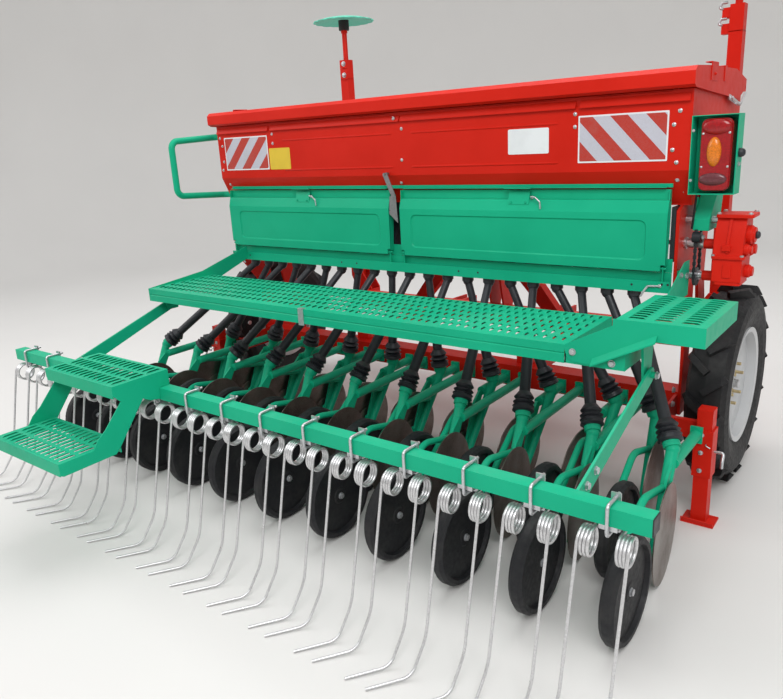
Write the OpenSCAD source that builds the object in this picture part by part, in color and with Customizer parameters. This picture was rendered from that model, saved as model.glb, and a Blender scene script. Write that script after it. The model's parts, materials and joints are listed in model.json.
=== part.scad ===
// Mounted seed drill, three metre class, 21 rows in two ranks of single disc coulters.
// Machine frame: X to the right of travel, Y forward, Z up, ground at Z = 0,
// Y = 0 at the hubs of the rear press wheels. placed() moves it to the box centre.

/* [Rows] */
// Distance between two neighbouring seed rows
row_pitch = 143; // [135:1:150]
// Sideways offset of the disc planes from the machine centre
row_shift = -25; // [-30:1:0]
// Distance between the rear and the front rank of coulters
rank_step = 319; // [300:1:335]
// Radius of a coulter disc
disc_r = 175; // [160:1:180]
// Thickness of a coulter disc
disc_t = 4; // [3:0.5:6]
// Toe-in angle of a coulter disc
disc_toe = 5; // [3:0.5:7]
// Place of the rear discs along the travel
disc_y = 365; // [355:1:375]
// Radius of a press wheel
press_r = 170; // [155:1:175]
// Width of a press wheel
press_w = 46; // [36:1:50]

/* [Seed tubes] */
// Pitch of the metering outlets
outlet_pitch = 108.5; // [104:0.5:112]
// Height of the lower end of the outlets
outlet_z = 862; // [850:1:870]
// Place of the outlets along the travel
outlet_y = 900; // [895:1:905]
// Radius of the upper seed tube
tube_r = 17; // [14:0.5:19]
// Radius of the telescopic seed tube
sleeve_r = 22; // [21:0.5:25]
// Radius of the bellows
bellows_r = 44; // [38:1:46]
// Height of the bellows
bellows_h = 84; // [76:1:92]
// Place of the rear bellows along the travel
bellows_y = 563; // [555:1:570]
// Height of the middle of the bellows
bellows_z = 474; // [468:1:482]

/* [Hopper] */
// Half width of the hopper between its end plates
hopper_hw = 1270; // [1250:1:1275]
// Rear face of the hopper
hopper_y = 880; // [876:1:886]
// Depth of the hopper at its rim
hopper_d = 670; // [640:1:680]
// Height of the hopper rim
rim_z = 1612; // [1590:1:1625]
// Height of the crease where the rear wall turns inward
crease_z = 1335; // [1325:1:1345]
// Height of the hopper floor
floor_z = 1212; // [1205:1:1220]
// Thickness of the hopper walls
sheet_t = 4; // [3:0.5:6]
// Rise of the lid over the rim
lid_rise = 78; // [70:1:90]
// Height of a metering cover
cover_h = 300; // [290:1:305]
// Height of the lower edge of a metering cover
cover_z = 968; // [962:1:974]
// Half width over both metering covers
cover_hw = 1210; // [1190:1:1220]
// Gap between the two metering covers
cover_gap = 64; // [60:1:80]
// Place of that gap's middle across the machine
gap_x = -45; // [-50:1:-40]

/* [Walkway] */
// Distance of the walkway's ends from the ends of the outlet rail
walk_in = 122; // [110:1:150]
// Rear edge of the walkway
walk_y = 198; // [190:1:206]
// Depth of the walkway
walk_d = 401; // [380:1:405]
// Height of the walkway
walk_z = 845; // [838:1:852]
// Height of the walkway's folded rear apron
apron_h = 62; // [50:1:70]
// Height of the side step
step_z = 945; // [938:1:952]
// Outer end of the side step
step_x = 1530; // [1500:1:1550]

/* [Harrow] */
// Half length of the harrow beam with its end caps
beam_hl = 1560; // [1540:1:1575]
// Side of the square harrow beam
beam_s = 50; // [45:1:55]
// Place of the beam's middle along the travel
beam_y = -275; // [-285:1:-270]
// Height of the beam's middle
beam_z = 575; // [570:1:580]
// Number of double tines
tine_n = 15; // [13:2:15]
// Pitch of the double tines
tine_pitch = 207.4; // [205:0.2:215]
// Diameter of the tine wire
wire_d = 10; // [9:0.5:10.5]
// Mean radius of a tine coil
coil_r = 38; // [35:1:40]
// Turns of a tine coil
coil_turns = 4; // [3:1:4]
// Half distance between the two coils of a tine
coil_half = 50; // [46:1:54]

/* [Wheels] */
// Radius of a land wheel over its lugs
wheel_r = 420; // [400:1:430]
// Width of a land wheel
wheel_w = 165; // [150:1:170]
// Distance of a wheel's middle from the machine centre
wheel_x = 1364; // [1360:1:1370]
// Place of the wheel axis along the travel
wheel_y = 1307; // [1300:1:1315]
// Radius of the rim's flange
rim_r = 258; // [250:1:265]
// Number of lugs on each side of a tyre
lug_n = 16; // [14:1:18]
// Height of the lugs
lug_h = 26; // [20:1:30]
// Radius of the stub axle
axle_r = 20; // [18:1:24]

/* [Headstock] */
// Distance between the two lower link points
link_span = 825; // [780:1:870]
// Height of the mast over the lower link points
mast_h = 610; // [590:1:640]
// Height of the lower link points
link_z = 470; // [460:1:480]
// Radius of a lower link pin
link_pin_r = 14; // [13.5:0.1:18]
// Radius of the top link bore
top_bore_r = 12.8; // [12.6:0.1:16]
// Place of the middle of the front beam along the travel
front_beam_y = 1800; // [1790:1:1805]

/* [Markers and stands] */
// Distance of the marker pivots from the machine centre
marker_x = 1160; // [1150:1:1170]
// Place of the markers along the travel
marker_y = 1900; // [1890:1:1910]
// Height of the marker pivots
marker_z = 640; // [620:1:660]
// Height of the top of the folded markers
marker_top = 2262; // [2230:1:2280]
// Side of the square marker tube
marker_s = 60; // [50:1:64]
// Radius of a marker disc
marker_disc_r = 190; // [180:1:195]
// Distance of the parking stands from the machine centre
stand_x = 1403; // [1400:1:1406]
// Place of the parking stands along the travel
stand_y = 830; // [826:1:834]
// Side of the square stand tube
stand_s = 56; // [50:1:60]

/* [Hidden] */
$fn = 48;

green = [0.1, 0.68, 0.53];
red = [0.8, 0.13, 0.07];
black = [0.1, 0.1, 0.12];
zinc = [0.75, 0.76, 0.78];
steel = [0.4, 0.38, 0.38];

// Fits: gap of parts that swing past each other, and radial play of a pin or shaft in its hole
swing_gap = 6;
pin_play = 0.05;
seat = 0.3;

// Extent along the travel, from the ladder's rear edge to the front of the link brackets
ladder_rear_y = -750;
bracket_front_y = front_beam_y + 210;
front_y = marker_y + marker_disc_r;
y_mid = (front_y + ladder_rear_y) / 2;
tip_bend = 90;
tip_back = 110;
tip_r = wire_d / 2 - 0.6;
tip_lean = (tip_bend - 6) / norm([tip_bend - 6, tip_back, 4.4]);
tine_left = (tine_n - 1) / 2 * tine_pitch + coil_half + (coil_turns - 1) * wire_d / 2 + tip_bend
    + tip_r * sqrt(1 - tip_lean * tip_lean);
x_mid = (beam_hl - tine_left) / 2;

// Frame members
bar_s = 100;
tool_y = 1110;
tool_z = 380;
tool_hl = 1230;
side_x = 1236;
side_t = 12;
rail_hw = side_x - side_t / 2;
walk_hw = rail_hw - walk_in;
wing_z = 960;
rear_rows = 11;
front_rows = 10;

module placed() translate([-x_mid, -y_mid, 0]) children();

// Places its children at point a with their Z axis towards point b
module aim(a, b) {
    d = b - a;
    translate(a) rotate([0, acos(d[2] / norm(d)), atan2(d[1], d[0])]) children();
}

// Round rod from point a to point b
module rod(a, b, r, fn = 24) aim(a, b) cylinder(r = r, h = norm(b - a), $fn = fn);

function unit(v) = v / norm(v);
function turn_at(path, i) = acos(unit(path[i] - path[i - 1]) * unit(path[i + 1] - path[i]));

// Round bar along a path of points with bends of one radius. The straights are a hair thinner than
// the bends and reach a little into them, so that the solids join without faces that only touch.
skin = 0.05;
bite = 0.5;
module bent_bar(path, r, bend) {
    last = len(path) - 1;
    for (i = [1:last]) {
        u = unit(path[i] - path[i - 1]);
        cut_a = i == 1 ? 0 : bend * tan(turn_at(path, i - 1) / 2) - bite;
        cut_b = i == last ? 0 : bend * tan(turn_at(path, i) / 2) - bite;
        rod(path[i - 1] + u * cut_a, path[i] - u * cut_b, r - skin);
        if (i < last) bar_bend(path, i, r, bend);
    }
}

module bar_bend(path, i, r, bend) {
    u = unit(path[i] - path[i - 1]);
    v = unit(path[i + 1] - path[i]);
    angle = acos(u * v);
    middle = path[i] + unit(v - u) * bend / cos(angle / 2);
    e = unit(path[i] - u * bend * tan(angle / 2) - middle);
    n = cross(e, u);
    multmatrix([[e[0], u[0], n[0], middle[0]], [e[1], u[1], n[1], middle[1]], [e[2], u[2], n[2], middle[2]],
        [0, 0, 0, 1]]) rotate_extrude(angle = angle) translate([bend, 0]) circle(r = r, $fn = 24);
}

// Outline in Y and Z, as thick as t along X, its middle at x
module plate_x(x, t, outline) {
    translate([x - t / 2, 0, 0]) rotate([90, 0, 90]) linear_extrude(t) polygon(outline);
}

// Outline in X and Z, as thick as t along Y, its middle at y
module plate_y(y, t, outline) {
    translate([0, y + t / 2, 0]) rotate([90, 0, 0]) linear_extrude(t) polygon(outline);
}

// Box from corner a to corner b
module block(a, b) translate(a) cube(b - a);

module pair() {
    children();
    mirror([1, 0, 0]) children();
}

function rear_x(i) = (5 - i) * 2 * row_pitch + row_shift;
function front_x(i) = (4.5 - i) * 2 * row_pitch + row_shift;

// Frame

module main_frame() {
    h = bar_s / 2;
    color(red) placed() {
        block([-tool_hl, tool_y - h, tool_z - h], [tool_hl, tool_y + h, tool_z + h]);
        block([-1080, front_beam_y - h, link_z - h], [1080, front_beam_y + h, link_z + h]);
        pair() block([460, tool_y, tool_z - 10], [540, front_beam_y, tool_z + bar_s]);
        pair() plate_x(tool_hl - 6, 12, [[stand_y + 6, tool_z - 45], [tool_y + h, tool_z - h],
            [tool_y + h, tool_z + h], [stand_y + 6, tool_z + 25]]);
    }
}

// Three-point headstock: an inverted V behind, a mast in front of it and two lower link brackets
vee_y = 1600;
pin_y = bracket_front_y - 30;
module headstock() {
    h = bar_s / 2;
    top_z = link_z + mast_h;
    color(red) placed() difference() {
        union() {
            plate_y(vee_y, 60, [[-540, tool_z + bar_s], [-460, tool_z + bar_s], [0, top_z - 90],
                [460, tool_z + bar_s], [540, tool_z + bar_s], [50, top_z + 30], [-50, top_z + 30]]);
            pair() plate_x(40, 12, [[vee_y + 30, top_z - 60], [front_beam_y - h, link_z + h],
                [front_beam_y + h, link_z + h], [pin_y + 20, top_z - 40], [pin_y + 40, top_z + 40],
                [vee_y + 30, top_z + 30]]);
            pair() for (x = [0, link_gap]) plate_x(link_span / 2 - link_seat - link_t / 2 - x, link_t,
                [[front_beam_y + h, link_z - h], [bracket_front_y, link_z - 45],
                [bracket_front_y, link_z + 45], [front_beam_y + h, link_z + h]]);
        }
        translate([-100, pin_y, top_z]) rotate([0, 90, 0]) cylinder(r = top_bore_r, h = 200);
        translate([-700, pin_y, link_z]) rotate([0, 90, 0]) cylinder(r = link_end_r + pin_play, h = 1400);
    }
}

// Each pin is held by two bracket plates and its free end takes the ball of a lower link
link_end_r = 11;
link_free = 86;
link_seat = 36;
link_gap = 70;
link_t = 12;
link_head = 8;
module link_pins() color(zinc) placed() {
    pair() translate([link_span / 2 - link_seat, pin_y, link_z]) rotate([0, 90, 0]) {
        cylinder(r = link_pin_r, h = link_free);
        translate([0, 0, -link_gap - link_t]) cylinder(r = link_end_r, h = link_gap + link_t);
        translate([0, 0, -link_gap - link_t - link_head]) cylinder(r = link_pin_r + 3, h = link_head);
    }
}

// Side plate between the tool bar, the land wheel's axle and the hopper
module side_frame(side) {
    x = side * side_x;
    color(red) placed() difference() {
        plate_x(x, side_t, [[1060, 330], [1400, 330], [1400, 520], [1290, 900], [1330, hopper_under(1330)],
            [hopper_y + 192, floor_z - 6 - seat], [hopper_y + 60, floor_z - 6 - seat],
            [hopper_y + 16, 1190], [hopper_y + 16, 905], [1060, 700]]);
        translate([x - 20, wheel_y, wheel_r]) rotate([0, 90, 0]) cylinder(r = axle_r + pin_play, h = 40);
        translate([x - 20, shaft_y, shaft_z]) rotate([0, 90, 0]) cylinder(r = shaft_r + pin_play, h = 40);
        plate_x(x, side_t + 2, [[1140, 560], [1270, 560], [1200, 900], [1140, 900]]);
    }
}
module side_frame_left() side_frame(-1);
module side_frame_right() side_frame(1);

module stub_axles() color(zinc) placed() {
    pair() translate([side_x - 30, wheel_y, wheel_r]) rotate([0, 90, 0])
        cylinder(r = axle_r, h = wheel_x - side_x + 60);
}

// Hopper: bent sheets between two end plates

// Just below the sloping front sheet at a place along the travel
function hopper_under(y) = floor_z + (y - hopper_y - 190) * (1420 - floor_z) / (hopper_d - 190) - 2;
function hopper_outer() = [[hopper_y, rim_z], [hopper_y, crease_z], [hopper_y + 60, floor_z],
    [hopper_y + 190, floor_z], [hopper_y + hopper_d, 1420], [hopper_y + hopper_d, rim_z]];

module hopper_back() color(red) placed() {
    o = hopper_outer();
    t = sheet_t;
    plate_x(0, 2 * (hopper_hw - t), [o[0], o[1], o[2], o[2] + [t * 1.1, 0], o[1] + [t, t / 3], o[0] + [t, 0]]);
}

module hopper_front() color(red) placed() {
    o = hopper_outer();
    t = sheet_t;
    plate_x(0, 2 * (hopper_hw - t), [o[3], o[4], o[5], o[5] - [t, 0], o[4] - [t, -t / 2], o[3] - [t * 2.5, 0]]);
}

module hopper_floor() color(red) placed() {
    o = hopper_outer();
    plate_x(0, 2 * (hopper_hw - sheet_t), [o[2] - [0, 6], o[3] - [0, 6], o[3], o[2]]);
}

module hopper_end(side) color(red) placed() {
    o = hopper_outer();
    plate_x(side * (hopper_hw - sheet_t / 2), sheet_t, [o[0], o[1], o[2] - [0, 6], o[3] - [0, 6], o[4], o[5]]);
}
module hopper_end_left() hopper_end(-1);
module hopper_end_right() hopper_end(1);

hinge_y = hopper_y + hopper_d + 24;
hinge_z = rim_z + 14;
hinge_pin_r = 6;
hinge_places = [-1000, 0, 1000];
lid_hw = hopper_hw + 14;
module lid() {
    y0 = hopper_y - 46;
    y1 = hopper_y + hopper_d + 34;
    z0 = rim_z + 2;
    t = sheet_t;
    top = z0 + lid_rise;
    color(red) placed() difference() {
        union() {
            plate_x(0, 2 * lid_hw, [[y0, z0 + 10], [y0 + 18, z0], [y0 + 22, z0 + t], [y0 + t, z0 + 14],
                [y0 + t, z0 + 50], [y0 + 22, z0 + 64], [y0 + 230, top - t], [y1 - 180, top - t],
                [y1 - t, z0 + 40], [y1 - t, z0 - 5], [y1, z0 - 5], [y1, z0 + 44], [y1 - 178, top],
                [y0 + 228, top], [y0 + 18, z0 + 70], [y0, z0 + 54]]);
            pair() plate_x(lid_hw - t / 2, t, [[y0, z0 + 10], [y0 + 18, z0], [y0 + 190, z0 - 10],
                [y1 - 120, z0 - 34], [y1 - 40, z0 - 5], [y1, z0 - 5], [y1, z0 + 44], [y1 - 178, top],
                [y0 + 228, top], [y0 + 18, z0 + 70], [y0, z0 + 54]]);
            for (x = hinge_places, s = [-1, 1]) plate_x(x + s * 11, 6, [[hinge_y - 12, hinge_z - 10],
                [y1 - 2, hinge_z - 10], [y1 - 2, hinge_z + 24], [hinge_y - 12, hinge_z + 24]]);
        }
        translate([-lid_hw, hinge_y, hinge_z]) rotate([0, 90, 0]) cylinder(r = hinge_pin_r + pin_play, h = 2 * lid_hw);
        for (x = hinge_places) block([x - 8, y1 - t - 1, z0 - 6], [x + 8, y1 + 1, hinge_z + 14]);
    }
}

module lid_hinges() color(red) placed() {
    y = hopper_y + hopper_d;
    for (x = hinge_places) {
        plate_x(x, 8, [[y, rim_z - 70], [hinge_y + 5, hinge_z - 14], [hinge_y + 5, hinge_z + 10],
            [hinge_y - 8, hinge_z + 10], [y, rim_z - 10]]);
        translate([x - 17, hinge_y, hinge_z]) rotate([0, 90, 0]) cylinder(r = hinge_pin_r, h = 34);
    }
}

// Metering units, their shaft and the rail of outlets below them

unit_w = 62;
shaft_z = 1060;
shaft_y = 985;
shaft_r = 9;
module seed_units() color(black) placed() {
    for (k = [-10:10]) difference() {
        plate_x(k * outlet_pitch, unit_w, [[hopper_y + 66, floor_z - 6], [hopper_y + 66, 1120],
            [hopper_y + 30, 1050], [hopper_y + 6, 960], [hopper_y + 6, 889], [hopper_y + 44, 889], [shaft_y + 48, 1020],
            [shaft_y + 48, 1120], [hopper_y + 150, floor_z - 6]]);
        translate([k * outlet_pitch - unit_w, shaft_y, shaft_z]) rotate([0, 90, 0])
            cylinder(r = shaft_r + pin_play, h = 2 * unit_w);
    }
}

module feed_shaft() color(zinc) placed() {
    translate([-side_x - 20, shaft_y, shaft_z]) rotate([0, 90, 0]) cylinder(r = shaft_r, h = 2 * side_x + 20 + 110);
}

// Covers of the metering units, swung down on pins at their lower corners

cover_y = hopper_y - 22;
cover_pin_r = 5;
function cover_in(side) = side * gap_x + cover_gap / 2;
module cover(side) {
    inner = cover_in(side);
    z1 = cover_z + cover_h;
    zc = z1 - 79;
    t = 3;
    color(green) placed() difference() {
        union() {
            plate_x(side * (cover_hw + inner) / 2, cover_hw - inner, [[cover_y, cover_z], [cover_y, zc],
                [cover_y + 20, z1 - 12], [cover_y + 20, z1], [cover_y + 20 + t, z1],
                [cover_y + 20 + t, z1 - 13], [cover_y + t, zc], [cover_y + t, cover_z]]);
            for (x = [inner, cover_hw - t]) plate_x(side * (x + t / 2), t, [[cover_y, cover_z], [cover_y, zc],
                [cover_y + 20, z1 - 12], [cover_y + 36, z1 - 12], [cover_y + 36, zc - 40],
                [cover_y + 26, cover_z + 30], [cover_y + 20, cover_z]]);
        }
        translate([-hopper_hw, cover_y + 12, cover_z + 9]) rotate([0, 90, 0])
            cylinder(r = cover_pin_r + pin_play, h = 2 * hopper_hw);
        for (x = [inner + 10, cover_hw - 10]) block([side * x - 8, cover_y - 1, cover_z - 1],
            [side * x + 8, cover_y + t + 1, cover_z + 24]);
    }
}
module cover_left() cover(-1);
module cover_right() cover(1);

// Lugs that stand on the outlet rail and hold the covers' pins
module cover_hinges() {
    color(green) placed() for (s = [-1, 1], x = [cover_in(s) + 10, cover_hw - 10]) {
        plate_x(s * x, 4, [[cover_y + 6, 929], [cover_y + 24, 929], [cover_y + 20, cover_z + 16],
            [cover_y + 5, cover_z + 16]]);
        translate([s * x - 12, cover_y + 12, cover_z + 9]) rotate([0, 90, 0]) cylinder(r = cover_pin_r, h = 24);
    }
}

rail_z = cover_z + cover_h + 6;
rail_y = hopper_y + (crease_z - rail_z) * 60 / (crease_z - floor_z);
module cover_rail() {
    color(green) placed() plate_x(0, 2 * cover_hw, [[rail_y - 14, rail_z], [rail_y - 0.2, rail_z],
        [rail_y - 7.2, rail_z + 14], [rail_y - 14, rail_z + 14]]);
}

module cover_catches() {
    for (side = [-1, 1]) {
        x = side * (cover_hw + cover_in(side)) / 2;
        color(green) placed() block([x - 60, hopper_y - 26, rail_z], [x + 60, rail_y - 14, rail_z + 4]);
    }
}

// Rate lever on a stud of the rear sheet and the scale plate behind its lower end
module rate_scale() {
    stud_z = crease_z + 8;
    y = cover_y - 5;
    color(zinc) placed() {
        plate_y(y - 1.5, 3, [[gap_x - 51, stud_z - 2], [gap_x - 27, stud_z + 8], [gap_x + 19, 1244],
            [gap_x - 1, 1232]]);
        plate_y(y + 1.5, 3, [[gap_x - 19, 1240], [gap_x + 17, 1250], [gap_x + 24, 1118], [gap_x - 24, 1160]]);
        rod([gap_x - 39, y - 8, stud_z], [gap_x - 39, hopper_y, stud_z], 6);
    }
}

module outlet_rail() color(green) placed() {
    block([-rail_hw, cover_y + 5, outlet_z + spout_h], [rail_hw, cover_y + 9, 929]);
    block([-rail_hw, cover_y + 5, outlet_z + spout_h], [rail_hw, hopper_y + 60, outlet_z + spout_h + 4]);
}

// Seed tubes: outlet k feeds a rear coulter when even from the right end, a front one when odd

// The bellows stand on the boots. The outermost front coulters turn their tubes inward, clear of
// the land wheels.
boot_top_z = bellows_z - bellows_h / 2;
boot_side_rear = 48;
boot_side_front = 50;
boot_side_outer = 50;
boot_y_rear = bellows_y - 20;
boot_y_front = bellows_y + rank_step - 2;
outer_back = 72;
spout_h = 23;
function is_outer(i) = i == 0 || i == front_rows - 1;
function front_side(i) = i == 0 ? -1 : 1;
function outlet_x(k) = (10 - k) * outlet_pitch;
function outlet(k) = [outlet_x(k), outlet_y, outlet_z];
function boot_rear(i) = [rear_x(i) - boot_side_rear, boot_y_rear, boot_top_z];
function boot_front(i) = [front_x(i) + front_side(i) * (is_outer(i) ? boot_side_outer : boot_side_front),
    boot_y_front - (is_outer(i) ? outer_back : 0), boot_top_z];

// One tube from an outlet at top to the boot at low, with the bellows at its lower end
module seed_tube(top, low) {
    len = norm(top - low);
    h = bellows_h;
    r = bellows_r;
    ring = h / 4;
    sleeve = len * 0.65;
    translate(top) cylinder(r = 26, h = spout_h);
    translate(top) sphere(r = spout_h - 0.5);
    aim(low, top) {
        translate([0, 0, ring]) cylinder(r = tube_r, h = len - ring);
        translate([0, 0, 1.5 * ring]) cylinder(r = sleeve_r, h = sleeve - 1.5 * ring - 4);
        translate([0, 0, sleeve - 14]) cylinder(r = sleeve_r + 3, h = 14);
        rotate_extrude() polygon([[0, 0], [r - 8, 0], [r, 6], [r - 4, ring], [r, ring + 4],
            [r - 12, 1.5 * ring], [r - 1, 2 * ring], [r - 13, 2.5 * ring], [r - 4, 3 * ring],
            [sleeve_r + 4, h], [0, h]]);
    }
}

module seed_tubes_rear() color(black) placed() {
    for (i = [0:rear_rows - 1]) seed_tube(outlet(2 * i), boot_rear(i));
}

module seed_tubes_front() color(black) placed() {
    for (i = [0:front_rows - 1]) seed_tube(outlet(2 * i + 1), boot_front(i));
}

// Coulter: arm, boot tube, gusset and the press wheel's bracket; x is the disc plane, s the tube's side

arm_z = 372;
arm_r = 20;
arm_off = 26;
boot_top_r = 22;
boot_low_r = 14;
flange_t = 12;
boot_off = 30;
cup_r = 30;
cup_h = 20;
press_arm_r = 13;
press_fork = 0.68;
press_bend_z = 348;
press_hub = 13;
module coulter(x, y, boot, top, s, end_x, end_y) {
    head = boot - unit(top - boot) * (cup_h + seat + 6);
    foot = [x + s * boot_off, disc_y - 45 + y, 60];
    arm_x = x + s * arm_off;
    aim(boot, top) translate([0, 0, -cup_h - seat]) cylinder(r = cup_r, h = cup_h);
    aim(foot, head) cylinder(r1 = boot_low_r, r2 = boot_top_r, h = norm(head - foot));
    translate(head) sphere(r = boot_top_r + 2.5);
    rod([x + s * 13.2, disc_y + y, disc_r], [x + s * boot_off, disc_y + y, disc_r], 10);
    rod([arm_x, disc_y + 138 + y, arm_z], [end_x, end_y - 8, arm_z], arm_r);
    block([end_x - 22, end_y - flange_t, arm_z - 32], [end_x + 22, end_y, arm_z + 32]);
    plate_x(arm_x, 10, [[disc_y - 12 + y, 165], [disc_y + 20 + y, 165], [disc_y + 148 + y, arm_z - 4],
        [disc_y + 120 + y, arm_z + 8], [disc_y + 70 + y, arm_z - 30]]);
    press_x = x + s * (press_w / 2 + swing_gap + press_arm_r);
    fork = foot + (head - foot) * press_fork;
    bent_bar([fork, [press_x, disc_y - 115 + y, press_bend_z], [press_x, y, press_r]], press_arm_r, 80);
    rod([x + s * (press_hub + seat), y, press_r], [press_x, y, press_r], press_arm_r - 3);
    rod([press_x - s * (press_arm_r - 2), y, press_r], [press_x + s * press_arm_r, y, press_r], press_arm_r + 8);
}

module coulters_rear() {
    stop_y = stand_y - stand_s / 2 - seat - 6;
    color(green) placed() for (i = [0:rear_rows - 1]) {
        outer = i == 0 || i == rear_rows - 1;
        coulter(rear_x(i), 0, boot_rear(i), outlet(2 * i), -1, rear_x(i) - arm_off, outer ? stop_y : tool_y - bar_s / 2);
    }
}

module coulters_front() {
    color(green) placed() for (i = [0:front_rows - 1])
        coulter(front_x(i), rank_step, boot_front(i), outlet(2 * i + 1), front_side(i),
            front_x(i) + front_side(i) * arm_off, is_outer(i) ? stand_y + 6 : tool_y - bar_s / 2);
}

module disc(x, y, s) {
    translate([x, y, disc_r]) rotate([0, 0, disc_toe * s]) rotate([0, 90, 0]) {
        translate([0, 0, -disc_t / 2]) cylinder(r = disc_r, h = disc_t, $fn = 96);
        translate([0, 0, s > 0 ? -12 : -2]) cylinder(r = 45, h = 14);
    }
}

module discs_rear() color(steel) placed() {
    for (i = [0:rear_rows - 1]) disc(rear_x(i), disc_y, 1);
}

module discs_front() color(steel) placed() {
    for (i = [0:front_rows - 1]) disc(front_x(i), disc_y + rank_step, -front_side(i));
}

module press_wheel(x, y) {
    translate([x, y, press_r]) rotate([0, 90, 0]) rotate_extrude($fn = 96) polygon([[0, -press_hub],
        [28, -press_hub], [34, -9], [press_r - 28, -9], [press_r - 24, -press_w / 2], [press_r - 9, -press_w / 2],
        [press_r, -press_w / 2 + 12], [press_r, press_w / 2 - 12], [press_r - 9, press_w / 2],
        [press_r - 24, press_w / 2], [press_r - 28, 9], [34, 9],
        [28, press_hub], [0, press_hub]]);
}

module press_wheels_rear() color(black) placed() {
    for (i = [0:rear_rows - 1]) press_wheel(rear_x(i), 0);
}

module press_wheels_front() color(black) placed() {
    for (i = [0:front_rows - 1]) press_wheel(front_x(i), rank_step);
}

// Walkway, its side parts and the handrail

module walkway() color(green) placed() {
    t = 3;
    block([-walk_hw, walk_y, walk_z - t], [walk_hw, walk_y + walk_d, walk_z]);
    block([-walk_hw, walk_y, walk_z - apron_h], [walk_hw, walk_y + t, walk_z]);
    block([-walk_hw, walk_y + walk_d - t, walk_z - 40], [walk_hw, walk_y + walk_d, walk_z]);
}

module wing_left() color(green) placed() {
    plate_x(-walk_hw - 2, 4, [[walk_y, walk_z - apron_h], [walk_y + walk_d, walk_z - 40],
        [cover_y + 5, 893], [cover_y + 5, wing_z], [walk_y + walk_d - 60, walk_z + 30], [walk_y, walk_z]]);
}

module side_step() color(green) placed() {
    t = 3;
    d = 370;
    x0 = hopper_hw;
    block([x0, walk_y, step_z - t], [step_x, walk_y + d, step_z]);
    block([step_x - t, walk_y, step_z - 60], [step_x, walk_y + d, step_z]);
    plate_y(walk_y + 2, 4, [[walk_hw, walk_z - apron_h], [walk_hw + 90, walk_z - apron_h - 12],
        [x0 + 40, step_z - 62], [step_x, step_z - 60], [step_x, step_z], [x0, step_z],
        [walk_hw + 20, walk_z], [walk_hw, walk_z]]);
    plate_x(walk_hw + 2, 4, [[walk_y, walk_z - apron_h], [walk_y + walk_d, walk_z - 60],
        [cover_y + 5, 893], [cover_y + 5, wing_z], [walk_y + d, step_z], [walk_y, walk_z]]);
}

module handrail() {
    x = -hopper_hw - 60;
    color(green) placed() bent_bar([[-hopper_hw, hopper_y + 40, 1560], [x, hopper_y + 40, 1560],
        [x, hopper_y - 270, 1545], [x, hopper_y - 270, 1260], [x, hopper_y + 70, 1240],
        [-hopper_hw, hopper_y + 70, 1240]], 17, 42);
}

// Harrow: beam, arms, tines and the ladder that it carries

harrow_pivot_y = 300;
harrow_pivot_z = 752;
module harrow_beam() color(green) placed() {
    h = beam_s / 2;
    block([-beam_hl, beam_y - h, beam_z - h], [beam_hl, beam_y + h, beam_z + h]);
}

arm_left_x = 20 - walk_hw;
arm_right_x = hopper_hw + 80;
module harrow_arms() {
    h = beam_s / 2;
    y = harrow_pivot_y;
    z = harrow_pivot_z;
    color(green) placed() for (x = [arm_left_x, arm_right_x]) difference() {
        plate_x(x, 8, [[beam_y + h, beam_z - h], [beam_y + h + 40, beam_z - h], [y + 10, z - 24],
            [y + 24, z - 10], [y + 24, z + 10], [y + 10, z + 22], [y - 20, z + 18], [beam_y + h, beam_z + h]]);
        translate([x - 20, y, z]) rotate([0, 90, 0]) cylinder(r = pivot_r + pin_play, h = 40);
    }
}

// Plates under the walkway and the side step with the harrow's pivot pins
pivot_r = 10;
module harrow_hangers() {
    y = harrow_pivot_y;
    z = harrow_pivot_z;
    color(green) placed() for (h = [[arm_left_x, 1, walk_z - 3], [arm_right_x, -1, step_z - 3]]) {
        translate([h[0] - 18, y, z]) rotate([0, 90, 0]) cylinder(r = pivot_r, h = 36);
        plate_x(h[0] + h[1] * 13, 8, [[y - 30, z - 26], [y + 30, z - 26], [y + 60, h[2]], [y - 60, h[2]]]);
    }
}

// One double tine: two coils, the bridge between them and two bent legs

coil_y = beam_y - 25;
coil_z = beam_z - 80;
// The legs are a hair thinner than the turns, so that their surfaces cross and never just touch
leg_r = wire_d / 2 - 0.4;
leg_lean = 13;
leg_len = 410;
module tine_leg(x) {
    mean_r = coil_r - 0.7;
    p0 = [x, coil_y - mean_r * cos(leg_lean), coil_z + mean_r * sin(leg_lean)];
    p1 = p0 - [0, sin(leg_lean), cos(leg_lean)] * leg_len;
    p2 = [x - 6, coil_y - 200, wire_d / 2 + 4];
    rod(p0, p1, leg_r, 16);
    rod(p1, p2, leg_r - 0.1, 16);
    rod(p2, p2 - [tip_bend - 6, tip_back, wire_d / 2 + 4 - leg_r], tip_r, 16);
}

// Turns of one coil as a grooved ring, the middle of its first turn at x, the others towards s
module tine_coil(x, s) {
    r = wire_d / 2;
    groove = [for (k = [0:coil_turns - 1]) each [[coil_r + r - 2, (2 * k - 1) * r], [coil_r + r, (2 * k - 1) * r + 2],
        [coil_r + r, (2 * k + 1) * r - 2]]];
    last = (2 * coil_turns - 1) * r;
    translate([x, coil_y, coil_z]) rotate([0, s * 90, 0]) rotate_extrude()
        polygon(concat([[coil_r - r, -r]], groove, [[coil_r + r - 2, last], [coil_r - r, last]]));
}

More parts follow.
